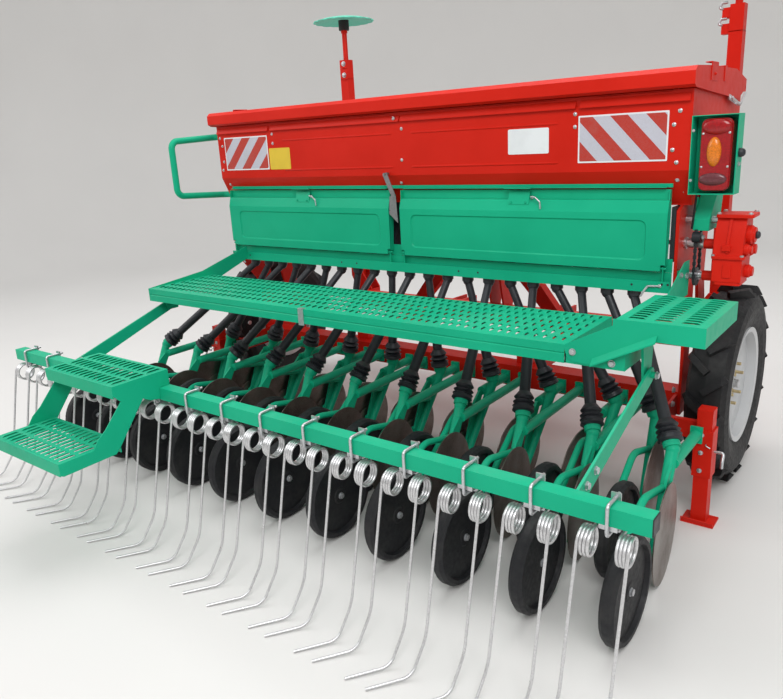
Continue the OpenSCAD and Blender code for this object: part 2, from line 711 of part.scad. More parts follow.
module tines() {
    color(zinc) placed() for (k = [0:tine_n - 1]) {
        x = (k - (tine_n - 1) / 2) * tine_pitch;
        outer = coil_half + (coil_turns - 1) * wire_d / 2;
        inner = outer - (coil_turns - 1) * wire_d;
        top = coil_z + coil_r - 0.7;
        for (s = [-1, 1]) {
            tine_coil(x + s * outer, -s);
            tine_leg(x + s * outer);
            rod([x + s * inner, coil_y, top], [x + s * inner, coil_y + 46, top], leg_r, 16);
        }
        rod([x - inner - 6, coil_y + 41, top], [x + inner + 6, coil_y + 41, top], leg_r - 0.1, 16);
    }
}

// Clamp of one tine: saddle, U-bolt round the beam and the wire, plate and nuts in front
bolt_r = 5;
module tine_clamps() {
    h = beam_s / 2;
    wire_top = coil_z + coil_r - 0.7 + leg_r;
    low = wire_top - 2 * leg_r - seat - bolt_r;
    high = beam_z + h + 2 + bolt_r;
    rear = beam_y - h - 2 - bolt_r;
    front = beam_y + h + 24;
    color(zinc) placed() for (k = [0:tine_n - 1]) {
        x = (k - (tine_n - 1) / 2) * tine_pitch;
        block([x - 24, beam_y - h, wire_top + seat], [x + 24, beam_y + h, beam_z - h]);
        bent_bar([[x, front, low], [x, rear, low], [x, rear, high], [x, front, high]], bolt_r, 11);
        block([x - 13, beam_y + h, low - 12], [x + 13, beam_y + h + 5, high + 12]);
        for (z = [low, high]) translate([x, beam_y + h + 5, z]) rotate([-90, 0, 0]) cylinder(r = 9, h = 8, $fn = 6);
    }
}

ladder_x0 = -870;
ladder_x1 = -380;
module ladder() color(green) placed() {
    t = 4;
    z1 = 665;
    z2 = 450;
    d = 250;
    y1 = ladder_rear_y + d;
    for (p = [[y1, z1], [ladder_rear_y, z2]]) {
        block([ladder_x0 + t, p[0], p[1] - t], [ladder_x1 - t, p[0] + d, p[1]]);
        block([ladder_x0 + t, p[0], p[1] - 50], [ladder_x1 - t, p[0] + t, p[1]]);
        block([ladder_x0 + t, p[0] + d - t, p[1] - 50], [ladder_x1 - t, p[0] + d, p[1]]);
    }
    for (x = [ladder_x0 + t / 2, ladder_x1 - t / 2]) difference() {
        plate_x(x, t, [[ladder_rear_y, z2], [ladder_rear_y + 20, z2 - 60], [y1 + 20, z2 - 60], [y1 + 120, z1 - 140],
            [y1 + 150, 545], [y1 + d, 545], [y1 + d, z1], [y1, z1], [y1 - 20, z1 - 50], [y1 - 20, z2 + 40], [y1 - 60, z2]]);
        block([x - t, beam_y - beam_s / 2 - seat, beam_z - beam_s / 2 - seat],
            [x + t, beam_y + beam_s / 2 + seat, beam_z + beam_s / 2 + seat]);
    }
}

// Land wheels

module tyre() {
    base_r = wheel_r - lug_h;
    w = wheel_w / 2;
    rotate_extrude($fn = 96) polygon([[rim_r - 12, -w + 22], [rim_r + 20, -w + 8], [rim_r + 70, -w],
        [base_r - 30, -w + 6], [base_r - 6, -w + 22], [base_r, 0], [base_r - 6, w - 22], [base_r - 30, w - 6],
        [rim_r + 70, w], [rim_r + 20, w - 8], [rim_r - 12, w - 22]]);
    for (k = [0:lug_n - 1], s = [-1, 1]) rotate([0, 0, (k + (s > 0 ? 0.5 : 0)) * 360 / lug_n])
        translate([base_r - 14, 0, 0]) rotate([s * 40, 0, 0])
        translate([0, -13, s > 0 ? -6 : -w - 14]) cube([lug_h + 30, 26, w + 20]);
}

module tyre_at(side) color(black) placed() {
    w = wheel_w / 2;
    translate([side * wheel_x, wheel_y, wheel_r]) rotate([0, 90, 0]) intersection() {
        tyre();
        rotate_extrude($fn = 96) polygon([[rim_r - 14, -w + 20], [rim_r + 60, -w - 1], [wheel_r - 34, -w],
            [wheel_r, -w + 22], [wheel_r, w - 22], [wheel_r - 34, w], [rim_r + 60, w + 1],
            [rim_r - 14, w - 20]]);
    }
}
module tyre_left() tyre_at(-1);
module tyre_right() tyre_at(1);

module rim_at(side) color(zinc) placed() {
    w = wheel_w / 2;
    translate([side * wheel_x, wheel_y, wheel_r]) rotate([0, side * 90, 0]) difference() {
        rotate_extrude($fn = 96) polygon([[axle_r + 4, -30], [60, -30], [60, -6], [110, -6], [170, 16],
            [rim_r - 40, 20], [rim_r - 40, -w + 20], [rim_r - 12.3, -w + 14], [rim_r - 12.3, w - 14],
            [rim_r - 34, w - 18], [rim_r - 34, 26], [168, 22], [108, 0], [60, 0], [60, 10], [axle_r + 4, 10]]);
    }
    translate([side * wheel_x, wheel_y, wheel_r]) rotate([0, side * 90, 0]) difference() {
        translate([0, 0, -30]) cylinder(r = axle_r + 6, h = 40);
        translate([0, 0, -40]) cylinder(r = axle_r + pin_play, h = 100);
    }
}
module rim_left() rim_at(-1);
module rim_right() rim_at(1);

// Parking stands

module stand(side) color(red) placed() {
    x = side * stand_x;
    h = stand_s / 2;
    block([x - h, stand_y - h, 8], [x + h, stand_y + h, 470]);
    block([x - 60, stand_y - 45, 0], [x + 60, stand_y + 45, 8]);
}
module stand_left() stand(-1);
module stand_right() stand(1);

module stand_sleeves() {
    h = stand_s / 2 + seat;
    t = 6;
    reach = [[1, stand_x + h + t], [-1, 1505]];
    color(red) placed() for (r = reach) mirror([r[0] < 0 ? 1 : 0, 0, 0]) difference() {
        union() {
            block([stand_x - h - t, stand_y - h - t, 200], [stand_x + h + t, stand_y + h + t, 390]);
            block([tool_hl, stand_y + 6, tool_z - 45], [stand_x - h - t, stand_y + 30, tool_z + 25]);
            block([stand_x, stand_y - h - t, tool_z - 40], [r[1], stand_y + h + t, tool_z + 10]);
        }
        block([stand_x - h, stand_y - h, 190], [stand_x + h, stand_y + h, 400]);
    }
}

// Drive

module gearbox() {
    color(red) placed() difference() {
        union() {
            block([1356, 900, 920], [1456, 1040, 1176]);
            block([1456, 930, 960], [1490, 1010, 1150]);
        }
        translate([1340, shaft_y, shaft_z]) rotate([0, 90, 0]) cylinder(r = shaft_r + pin_play, h = 60);
    }
}

// Tubes that carry the gearbox on the side plate
module drive_shafts() color(zinc) placed() {
    for (z = [940, 1150]) translate([side_x + side_t / 2, 985, z]) rotate([0, 90, 0])
        cylinder(r = 14, h = 1356 - side_x - side_t / 2);
}

module chain_guard() color(green) placed() {
    plate_x(hopper_hw + 34, 60, [[950, 1176.3], [1090, 1176.3], [1120, 1230], [960, 1262]]);
    block([hopper_hw, 985, 1180], [hopper_hw + 4, 1010, 1230]);
}

// Lamp on the right, its box and its cable

lamp_box_w = 154;
lamp_box_d = 76;
lamp_low = 1250;
lamp_high = 1520;
module lamp_box() color(green) placed() {
    t = 3;
    x0 = hopper_hw;
    x1 = x0 + lamp_box_w;
    y0 = hopper_y - 6;
    y1 = y0 + lamp_box_d;
    difference() {
        block([x0, y0, lamp_low], [x1, y1, lamp_high]);
        block([x0 + t, y0 - 1, lamp_low + t], [x1 - t, y1 - t, lamp_high - t]);
    }
}

module lamp() color(red) placed() {
    x0 = hopper_hw;
    block([x0 + 30, hopper_y, lamp_low + 12], [x0 + lamp_box_w - 20, hopper_y - 9 + lamp_box_d, lamp_high - 12]);
}

module lamp_cable() color(black) placed() {
    rod([1290, hopper_y + 40, 1249], [1275, hopper_y + 60, 1120], 4, 16);
}

// Markers

marker_pin_r = 12;
module marker_brackets() {
    y = front_beam_y + bar_s / 2;
    color(red) placed() pair() {
        for (p = [y + 7, marker_y + marker_s / 2 + 7 + swing_gap]) plate_y(p, 12, [[marker_x - 130, link_z - 50],
            [marker_x - 60, link_z - 50], [marker_x + 34, marker_z - 30], [marker_x + 34, marker_z + 30],
            [marker_x - 30, marker_z + 40], [marker_x - 130, link_z + 60]]);
        block([marker_x - 130, y, link_z - 50], [marker_x - 118, marker_y + marker_s / 2 + 1 + swing_gap, link_z + 50]);
        translate([marker_x, y + 1, marker_z]) rotate([-90, 0, 0])
            cylinder(r = marker_pin_r, h = marker_y - y + marker_s / 2 + 12);
    }
}

module marker_arm(side) {
    h = marker_s / 2;
    x = side * marker_x;
    color(red) placed() difference() {
        union() {
            block([x - h, marker_y - h, marker_z - 40], [x + h, marker_y + h, marker_top - 380]);
            rod([x, marker_y, marker_top - 400], [x + side * 4, marker_y, marker_top - 90], 10);
            translate([x, marker_y, marker_top - 110]) cylinder(r = 20, h = 45);
            translate([x, marker_y, marker_top - 70]) cylinder(r = 9, h = 30);
        }
        translate([x, marker_y - 60, marker_z]) rotate([-90, 0, 0]) cylinder(r = marker_pin_r + pin_play, h = 120);
    }
}
module marker_arm_left() marker_arm(-1);
module marker_arm_right() marker_arm(1);

module marker_disc(side) {
    r = marker_disc_r;
    r0 = 9 + pin_play;
    color(green) placed() translate([side * marker_x, marker_y, marker_top - 64.7]) rotate_extrude($fn = 96)
        polygon([[r0, 0], [50, 2], [r - 60, 20], [r, 50], [r, 53], [r - 62, 24], [50, 6], [r0, 4]]);
}
module marker_disc_left() marker_disc(-1);
module marker_disc_right() marker_disc(1);

main_frame();
headstock();
link_pins();
side_frame_left();
side_frame_right();
stub_axles();
hopper_back();
hopper_front();
hopper_end_left();
hopper_end_right();
hopper_floor();
lid();
lid_hinges();
seed_units();
feed_shaft();
cover_left();
cover_right();
cover_rail();
cover_hinges();
cover_catches();
rate_scale();
outlet_rail();
seed_tubes_rear();
seed_tubes_front();
coulters_rear();
coulters_front();
discs_rear();
discs_front();
press_wheels_rear();
press_wheels_front();
walkway();
wing_left();
side_step();
handrail();
harrow_beam();
harrow_arms();
harrow_hangers();
tines();
tine_clamps();
ladder();
tyre_left();
tyre_right();
rim_left();
rim_right();
stand_left();
stand_right();
stand_sleeves();
gearbox();
drive_shafts();
chain_guard();
lamp_box();
lamp();
lamp_cable();
marker_brackets();
marker_arm_left();
marker_arm_right();
marker_disc_left();
marker_disc_right();
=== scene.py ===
"""Looks of a mounted seed drill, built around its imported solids."""

import json
import logging
import math
from dataclasses import dataclass
from enum import Enum

import bmesh
import bpy
from mathutils import Matrix, Vector

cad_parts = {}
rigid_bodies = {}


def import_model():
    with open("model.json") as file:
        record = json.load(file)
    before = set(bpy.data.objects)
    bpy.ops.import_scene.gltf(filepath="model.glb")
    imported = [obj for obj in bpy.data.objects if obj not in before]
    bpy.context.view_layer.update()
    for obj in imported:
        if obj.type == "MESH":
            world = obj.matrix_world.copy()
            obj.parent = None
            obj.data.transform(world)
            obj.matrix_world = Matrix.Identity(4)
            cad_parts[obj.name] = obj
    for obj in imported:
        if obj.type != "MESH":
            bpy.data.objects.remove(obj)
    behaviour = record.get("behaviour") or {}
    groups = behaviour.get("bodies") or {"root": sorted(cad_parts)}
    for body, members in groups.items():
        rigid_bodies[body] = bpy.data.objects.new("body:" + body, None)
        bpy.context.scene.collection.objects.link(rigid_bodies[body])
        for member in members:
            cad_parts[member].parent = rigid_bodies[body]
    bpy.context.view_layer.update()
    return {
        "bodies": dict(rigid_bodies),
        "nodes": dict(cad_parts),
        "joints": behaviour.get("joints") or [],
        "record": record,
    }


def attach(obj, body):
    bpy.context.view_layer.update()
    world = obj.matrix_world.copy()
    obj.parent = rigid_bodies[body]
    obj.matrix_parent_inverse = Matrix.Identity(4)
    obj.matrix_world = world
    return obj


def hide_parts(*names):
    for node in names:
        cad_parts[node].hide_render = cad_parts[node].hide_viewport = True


LOG = logging.getLogger("seed_drill")
MM = 0.001
# Shift from the machine's own frame, in which sizes are written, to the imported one
SHIFT = Vector((0.025149, -0.670, 0.0))
Point = tuple[float, float, float]
Colour = tuple[float, float, float]
Outline = list[tuple[float, float]]
Faces = list[tuple[int, ...]]
REARWARD: Point = (0.0, -1.0, 0.0)
UPWARD: Point = (0.0, 0.0, 1.0)
RIGHTWARD: Point = (1.0, 0.0, 0.0)
LEFTWARD: Point = (-1.0, 0.0, 0.0)
# Height at which small fasteners start, just inside their seats
SINK = -0.4
# Steps of an arc in a rounded corner, and the angle of each in degrees
CORNER_STEPS = 5
CORNER_TURN = 22.5


class Axis(Enum):
    """Direction in which a flat outline is given its thickness."""

    X = 0
    Y = 1
    Z = 2


def in_frame(point: Vector | Point) -> Vector:
    """A place given in millimetres of the machine's own frame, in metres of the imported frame.

    Args:
        point: Place in millimetres.

    Returns:
        The same place in metres.
    """
    return Vector(point) * MM + SHIFT


def rounded(x0: float, x1: float, z0: float, z1: float, r: float) -> Outline:
    """Outline of a rectangle with rounded corners, from its upper right corner round to the left.

    Args:
        x0: Left edge.
        x1: Right edge.
        z0: Lower edge.
        z1: Upper edge.
        r: Radius of the corners.

    Returns:
        Corners of the outline, CORNER_STEPS to each rounded corner.
    """
    corners = ((x1 - r, z1 - r, 0), (x0 + r, z1 - r, 90), (x0 + r, z0 + r, 180), (x1 - r, z0 + r, 270))
    return [(cx + r * math.cos(math.radians(a + k * CORNER_TURN)),
             cz + r * math.sin(math.radians(a + k * CORNER_TURN)))
            for cx, cz, a in corners for k in range(CORNER_STEPS)]


# Shader graphs


class Graph:
    """Node graph of one finish around a principled shader."""

    def __init__(self, name: str) -> None:
        """Start an empty graph with its shader and output.

        Args:
            name: Name of the material.
        """
        self.material = bpy.data.materials.new(name)
        self.material.use_nodes = True
        self.tree = self.material.node_tree
        self.tree.nodes.clear()
        self.shader = self.tree.nodes.new("ShaderNodeBsdfPrincipled")
        out = self.tree.nodes.new("ShaderNodeOutputMaterial")
        self.tree.links.new(self.shader.outputs[0], out.inputs[0])
        self.coords = self.tree.nodes.new("ShaderNodeTexCoord").outputs["Object"]

    def put(self, socket: bpy.types.NodeSocket, value: object) -> None:
        """Link a socket to another one or set its value.

        Args:
            socket: Input to be fed.
            value: Output socket or plain value.
        """
        if isinstance(value, bpy.types.NodeSocket):
            self.tree.links.new(value, socket)
        elif value is not None:
            socket.default_value = value

    def math(self, kind: str, a: object, b: object = None, c: object = None) -> bpy.types.NodeSocket:
        """One math node.

        Args:
            kind: Operation.
            a: First value or socket.
            b: Second value or socket.
            c: Third value or socket.

        Returns:
            The node's output.
        """
        node = self.tree.nodes.new("ShaderNodeMath")
        node.operation = kind
        for socket, value in zip(node.inputs, (a, b, c)):
            self.put(socket, value)
        return node.outputs[0]

    def noise(self, scale: float, detail: float = 3.0, rough: float = 0.55,
              vector: bpy.types.NodeSocket | None = None) -> bpy.types.NodeSocket:
        """Noise over the piece.

        Args:
            scale: Cells for each metre.
            detail: Octaves.
            rough: Weight of the finer octaves.
            vector: Coordinates, the piece's own when left out.

        Returns:
            The noise value.
        """
        node = self.tree.nodes.new("ShaderNodeTexNoise")
        self.put(node.inputs["Vector"], vector or self.coords)
        self.put(node.inputs["Scale"], scale)
        self.put(node.inputs["Detail"], detail)
        self.put(node.inputs["Roughness"], rough)
        return node.outputs["Fac"]

    def cells(self, scale: float) -> bpy.types.NodeSocket:
        """Voronoi cells with one random value each.

        Args:
            scale: Cells for each metre.

        Returns:
            The cells' random value.
        """
        node = self.tree.nodes.new("ShaderNodeTexVoronoi")
        self.put(node.inputs["Vector"], self.coords)
        self.put(node.inputs["Scale"], scale)
        split = self.tree.nodes.new("ShaderNodeSeparateColor")
        self.tree.links.new(node.outputs["Color"], split.inputs[0])
        return split.outputs[0]

    def fit(self, value: bpy.types.NodeSocket, low: float, high: float, to_low: float,
            to_high: float) -> bpy.types.NodeSocket:
        """Spread a value from one range over another.

        Args:
            value: Value to be spread.
            low: Lower end of its range.
            high: Upper end of its range.
            to_low: Result at the lower end.
            to_high: Result at the upper end.

        Returns:
            The spread value.
        """
        node = self.tree.nodes.new("ShaderNodeMapRange")
        for socket, part in zip(node.inputs, (value, low, high, to_low, to_high)):
            self.put(socket, part)
        return node.outputs[0]

    def mix(self, share: object, a: object, b: object) -> bpy.types.NodeSocket:
        """Blend of two colours.

        Args:
            share: Share of the second colour.
            a: First colour.
            b: Second colour.

        Returns:
            The blended colour.
        """
        node = self.tree.nodes.new("ShaderNodeMix")
        node.data_type = "RGBA"
        self.put(node.inputs[0], share)
        for socket, value in zip((node.inputs[6], node.inputs[7]), (a, b)):
            self.put(socket, (*value, 1.0) if isinstance(value, tuple) else value)
        return node.outputs[2]

    def bump(self, height: bpy.types.NodeSocket, strength: float, distance: float) -> None:
        """Small relief on the shader's normal.

        Args:
            height: Height value.
            strength: Strength of the relief.
            distance: Depth in metres.
        """
        node = self.tree.nodes.new("ShaderNodeBump")
        self.put(node.inputs["Strength"], strength)
        self.put(node.inputs["Distance"], distance)
        self.put(node.inputs["Height"], height)
        self.tree.links.new(node.outputs[0], self.shader.inputs["Normal"])

    def facing_up(self) -> bpy.types.NodeSocket:
        """How much a surface faces the sky, from 0 to 1."""
        node = self.tree.nodes.new("ShaderNodeNewGeometry")
        split = self.tree.nodes.new("ShaderNodeSeparateXYZ")
        self.tree.links.new(node.outputs["Normal"], split.inputs[0])
        return self.fit(split.outputs[2], 0.2, 1.0, 0.0, 1.0)

    def set(self, **values: object) -> None:
        """Feed the shader's inputs; underscores in a name stand for spaces."""
        for name, value in values.items():
            socket = self.shader.inputs[name.replace("_", " ")]
            self.put(socket, (*value, 1.0) if isinstance(value, tuple) and len(value) == 3 else value)


# Finishes

FIELD_DUST: Colour = (0.52, 0.49, 0.44)
TYRE_DUST: Colour = (0.16, 0.15, 0.135)
BARE_STEEL: Colour = (0.42, 0.40, 0.38)
FOIL_COMB: Colour = (0.30, 0.22, 0.24)
FOIL_GRIME: Colour = (0.30, 0.28, 0.25)


@dataclass(frozen=True)
class Finish:
    """One finish with the record's slot that it belongs to."""

    name: str
    slot: str
    colour: Colour

    def dress(self, graph: Graph) -> None:
        """Feed the shader of this finish.

        Args:
            graph: Graph to be fed.
        """
        graph.set(Base_Color=self.colour)

    def material(self) -> bpy.types.Material:
        """The finish's material, made at its first use."""
        known = bpy.data.materials.get(self.name)
        if known:
            return known
        graph = Graph(self.name)
        self.dress(graph)
        return graph.material


@dataclass(frozen=True)
class GlossPaint(Finish):
    """Powder coat with a soft gloss, slight clouding and a film of dust on what faces up."""

    dust: float = 0.05
    gloss: float = 0.36

    def dress(self, graph: Graph) -> None:
        """Feed the shader of the paint.

        Args:
            graph: Graph to be fed.
        """
        cloud = graph.fit(graph.noise(2.2, 4.0), 0.3, 0.7, 0.0, 1.0)
        deep = tuple(0.90 * c for c in self.colour)
        light = tuple(min(1.0, 1.06 * c + 0.004) for c in self.colour)
        base = graph.mix(cloud, deep, light)
        film = graph.fit(graph.noise(9.0, 6.0, 0.7), 0.42, 0.75, 0.0, 1.0)
        share = graph.math("MULTIPLY", graph.math("MULTIPLY", film, graph.facing_up()), self.dust)
        base = graph.mix(share, base, FIELD_DUST)
        rough = graph.fit(graph.noise(34.0, 3.0), 0.3, 0.7, self.gloss, self.gloss + 0.10)
        graph.bump(graph.noise(420.0, 2.0), 0.05, 0.0004)
        graph.set(Base_Color=base, Roughness=graph.math("ADD", rough, graph.math("MULTIPLY", share, 1.2)),
                  Coat_Weight=0.02, Coat_Roughness=0.16, Specular_IOR_Level=0.13)


@dataclass(frozen=True)
class MouldedPlastic(Finish):
    """Dark moulded plastic with a fine grain and grey bloom."""

    bloom: float = 0.25
    rough: float = 0.42

    def dress(self, graph: Graph) -> None:
        """Feed the shader of the plastic.

        Args:
            graph: Graph to be fed.
        """
        cloud = graph.fit(graph.noise(14.0, 5.0, 0.6), 0.35, 0.75, 0.0, self.bloom)
        grey = tuple(c * 2.6 + 0.01 for c in self.colour)
        graph.bump(graph.noise(900.0, 2.0), 0.12, 0.0003)
        graph.set(Base_Color=graph.mix(cloud, self.colour, grey),
                  Roughness=graph.fit(graph.noise(40.0), 0.3, 0.7, self.rough - 0.06, self.rough + 0.10))


@dataclass(frozen=True)
class ZincPlate(Finish):
    """Bright zinc with faint crystal spangle and duller patches."""

    spangle: float = 160.0

    def dress(self, graph: Graph) -> None:
        """Feed the shader of the zinc.

        Args:
            graph: Graph to be fed.
        """
        crystal = graph.fit(graph.cells(self.spangle), 0.0, 1.0, 0.0, 0.55)
        dull = tuple(0.72 * c for c in self.colour)
        base = graph.mix(crystal, self.colour, dull)
        graph.bump(graph.noise(600.0, 2.0), 0.08, 0.0003)
        graph.set(Base_Color=base, Metallic=0.85,
                  Roughness=graph.fit(graph.noise(24.0, 4.0), 0.3, 0.7, 0.26, 0.46))


@dataclass(frozen=True)
class WornSteel(Finish):
    """Hardened steel of a coulter disc with brown heat tint and fine wear."""

    tint: Colour = (0.105, 0.075, 0.06)

    def dress(self, graph: Graph) -> None:
        """Feed the shader of the steel.

        Args:
            graph: Graph to be fed.
        """
        patch = graph.fit(graph.noise(5.0, 5.0, 0.6), 0.35, 0.65, 0.0, 1.0)
        scratch = graph.fit(graph.noise(260.0, 3.0, 0.8), 0.4, 0.7, 0.0, 0.35)
        base = graph.mix(patch, self.colour, self.tint)
        base = graph.mix(scratch, base, BARE_STEEL)
        graph.bump(graph.noise(240.0, 4.0, 0.7), 0.06, 0.0004)
        graph.set(Base_Color=base, Metallic=0.9, Roughness=graph.fit(patch, 0.0, 1.0, 0.30, 0.44))


@dataclass(frozen=True)
class Rubber(Finish):
    """Dry rubber with dust in its pores."""

    dust: float = 0.12

    def dress(self, graph: Graph) -> None:
        """Feed the shader of the rubber.

        Args:
            graph: Graph to be fed.
        """
        film = graph.fit(graph.noise(11.0, 6.0, 0.7), 0.45, 0.8, 0.0, self.dust)
        base = graph.mix(film, self.colour, TYRE_DUST)
        graph.bump(graph.noise(520.0, 4.0, 0.7), 0.25, 0.0005)
        graph.set(Base_Color=base, Roughness=graph.fit(graph.noise(60.0), 0.3, 0.7, 0.50, 0.70),
                  Specular_IOR_Level=0.35)


@dataclass(frozen=True)
class LampLens(Finish):
    """Tinted clear plastic over a honeycomb reflector."""

    comb: float = 260.0

    def dress(self, graph: Graph) -> None:
        """Feed the shader of the lens.

        Args:
            graph: Graph to be fed.
        """
        facet = graph.fit(graph.cells(self.comb), 0.0, 1.0, 0.0, 0.6)
        deep = tuple(0.45 * c for c in self.colour)
        graph.bump(graph.cells(self.comb), 0.15, 0.0008)
        graph.set(Base_Color=graph.mix(facet, self.colour, deep), Roughness=0.16, Coat_Weight=0.35,
                  Coat_Roughness=0.05, Specular_IOR_Level=0.35)


@dataclass(frozen=True)
class StripedFoil(Finish):
    """Reflecting foil with slanted stripes of two colours."""

    other: Colour
    start: float
    pitch: float
    lean: float

    def dress(self, graph: Graph) -> None:
        """Feed the shader of the foil.

        Args:
            graph: Graph to be fed.
        """
        split = graph.tree.nodes.new("ShaderNodeSeparateXYZ")
        graph.tree.links.new(graph.coords, split.inputs[0])
        slant = graph.math("MULTIPLY", split.outputs[2], self.lean)
        along = graph.math("ADD", split.outputs[0], slant)
        place = graph.math("DIVIDE", graph.math("SUBTRACT", along, self.start), self.pitch)
        band = graph.math("GREATER_THAN", graph.math("FRACT", place), 0.5)
        comb = graph.fit(graph.cells(420.0), 0.0, 1.0, 0.0, 0.18)
        base = graph.mix(comb, graph.mix(band, self.colour, self.other), FOIL_COMB)
        grime = graph.fit(graph.noise(12.0, 5.0), 0.5, 0.8, 0.0, 0.18)
        graph.set(Base_Color=graph.mix(grime, base, FOIL_GRIME), Roughness=0.32, Coat_Weight=0.1,
                  Specular_IOR_Level=0.3)


@dataclass(frozen=True)
class PlainFoil(Finish):
    """Bare foil or sheet of one colour with a trace of grime."""

    def dress(self, graph: Graph) -> None:
        """Feed the shader of the foil.

        Args:
            graph: Graph to be fed.
        """
        grime = graph.fit(graph.noise(16.0, 5.0), 0.45, 0.8, 0.0, 0.22)
        graph.bump(graph.noise(300.0, 2.0), 0.04, 0.0003)
        dark = tuple(0.6 * c for c in self.colour)
        graph.set(Base_Color=graph.mix(grime, self.colour, dark), Roughness=0.38)


RED = GlossPaint("red_coat", "red_paint", (0.62, 0.013, 0.004))
GREEN = GlossPaint("green_coat", "green_paint", (0.006, 0.41, 0.225))
SILVER = GlossPaint("silver_coat", "rim_paint", (0.56, 0.57, 0.58), 0.12, 0.3)
PLASTIC = MouldedPlastic("black_moulding", "black_plastic", (0.013, 0.0145, 0.019))
BLACK_HUB = MouldedPlastic("black_casting", "black_plastic", (0.010, 0.010, 0.012), 0.15, 0.5)
PRESS_TYRE = Rubber("press_wheel_rubber", "black_plastic", (0.012, 0.0125, 0.015), 0.16)
ZINC = ZincPlate("zinc_plate", "zinc", (0.60, 0.61, 0.63))
TINE_WIRE = ZincPlate("tine_wire_zinc", "zinc", (0.70, 0.70, 0.71), 240.0)
YELLOW_ZINC = ZincPlate("yellow_zinc", "zinc", (0.66, 0.53, 0.30))
SCALE_ZINC = ZincPlate("scale_zinc", "zinc", (0.30, 0.30, 0.31))
# Paler copy of the same green paint, used on the marker discs: painted sunlight standing in for the washed-out
# look of the green discs in strong sun
SUNLIT_GREEN_LOOK = GlossPaint("painted_sunlit_green_coat", "green_paint", (0.12, 0.62, 0.45))
DISC = WornSteel("disc_steel_worn", "disc_steel", (0.24, 0.21, 0.19))
TYRE = Rubber("tyre_rubber", "tyre", (0.008, 0.008, 0.0095))
CABLE = Rubber("cable_sheath", "cable", (0.012, 0.012, 0.013), 0.08)
RED_LENS = LampLens("red_lens", "lens", (0.40, 0.004, 0.008))
AMBER_LENS = LampLens("amber_lens", "lens", (0.85, 0.22, 0.01))
CLEAR_LENS = LampLens("smoke_lens", "lens", (0.16, 0.035, 0.045))
WHITE_FOIL = PlainFoil("white_foil", "lens", (0.80, 0.80, 0.83))
YELLOW_FOIL = PlainFoil("yellow_foil", "lens", (0.75, 0.50, 0.03))
BOARD_WHITE: Colour = (0.56, 0.55, 0.63)
BOARD_RED: Colour = (0.50, 0.030, 0.015)
BOARD_RIGHT = StripedFoil("board_stripes_right", "lens", BOARD_RED, BOARD_WHITE, 2.460, 0.134, 0.95)
BOARD_LEFT = StripedFoil("board_stripes_left", "lens", BOARD_RED, BOARD_WHITE, -2.513, 0.134, -0.95)

NODE_FINISHES: dict[str, Finish] = {
    "green_paint": GREEN, "red_paint": RED, "black_plastic": PLASTIC, "zinc": ZINC, "disc_steel": DISC,
    "tyre": TYRE, "cable": CABLE, "lens": RED_LENS, "rim_paint": SILVER,
}
NODE_OWN: dict[str, Finish] = {
    "rate_scale": SCALE_ZINC, "tines": TINE_WIRE,
    "press_wheels_rear": PRESS_TYRE, "press_wheels_front": PRESS_TYRE,
}


# Mesh work


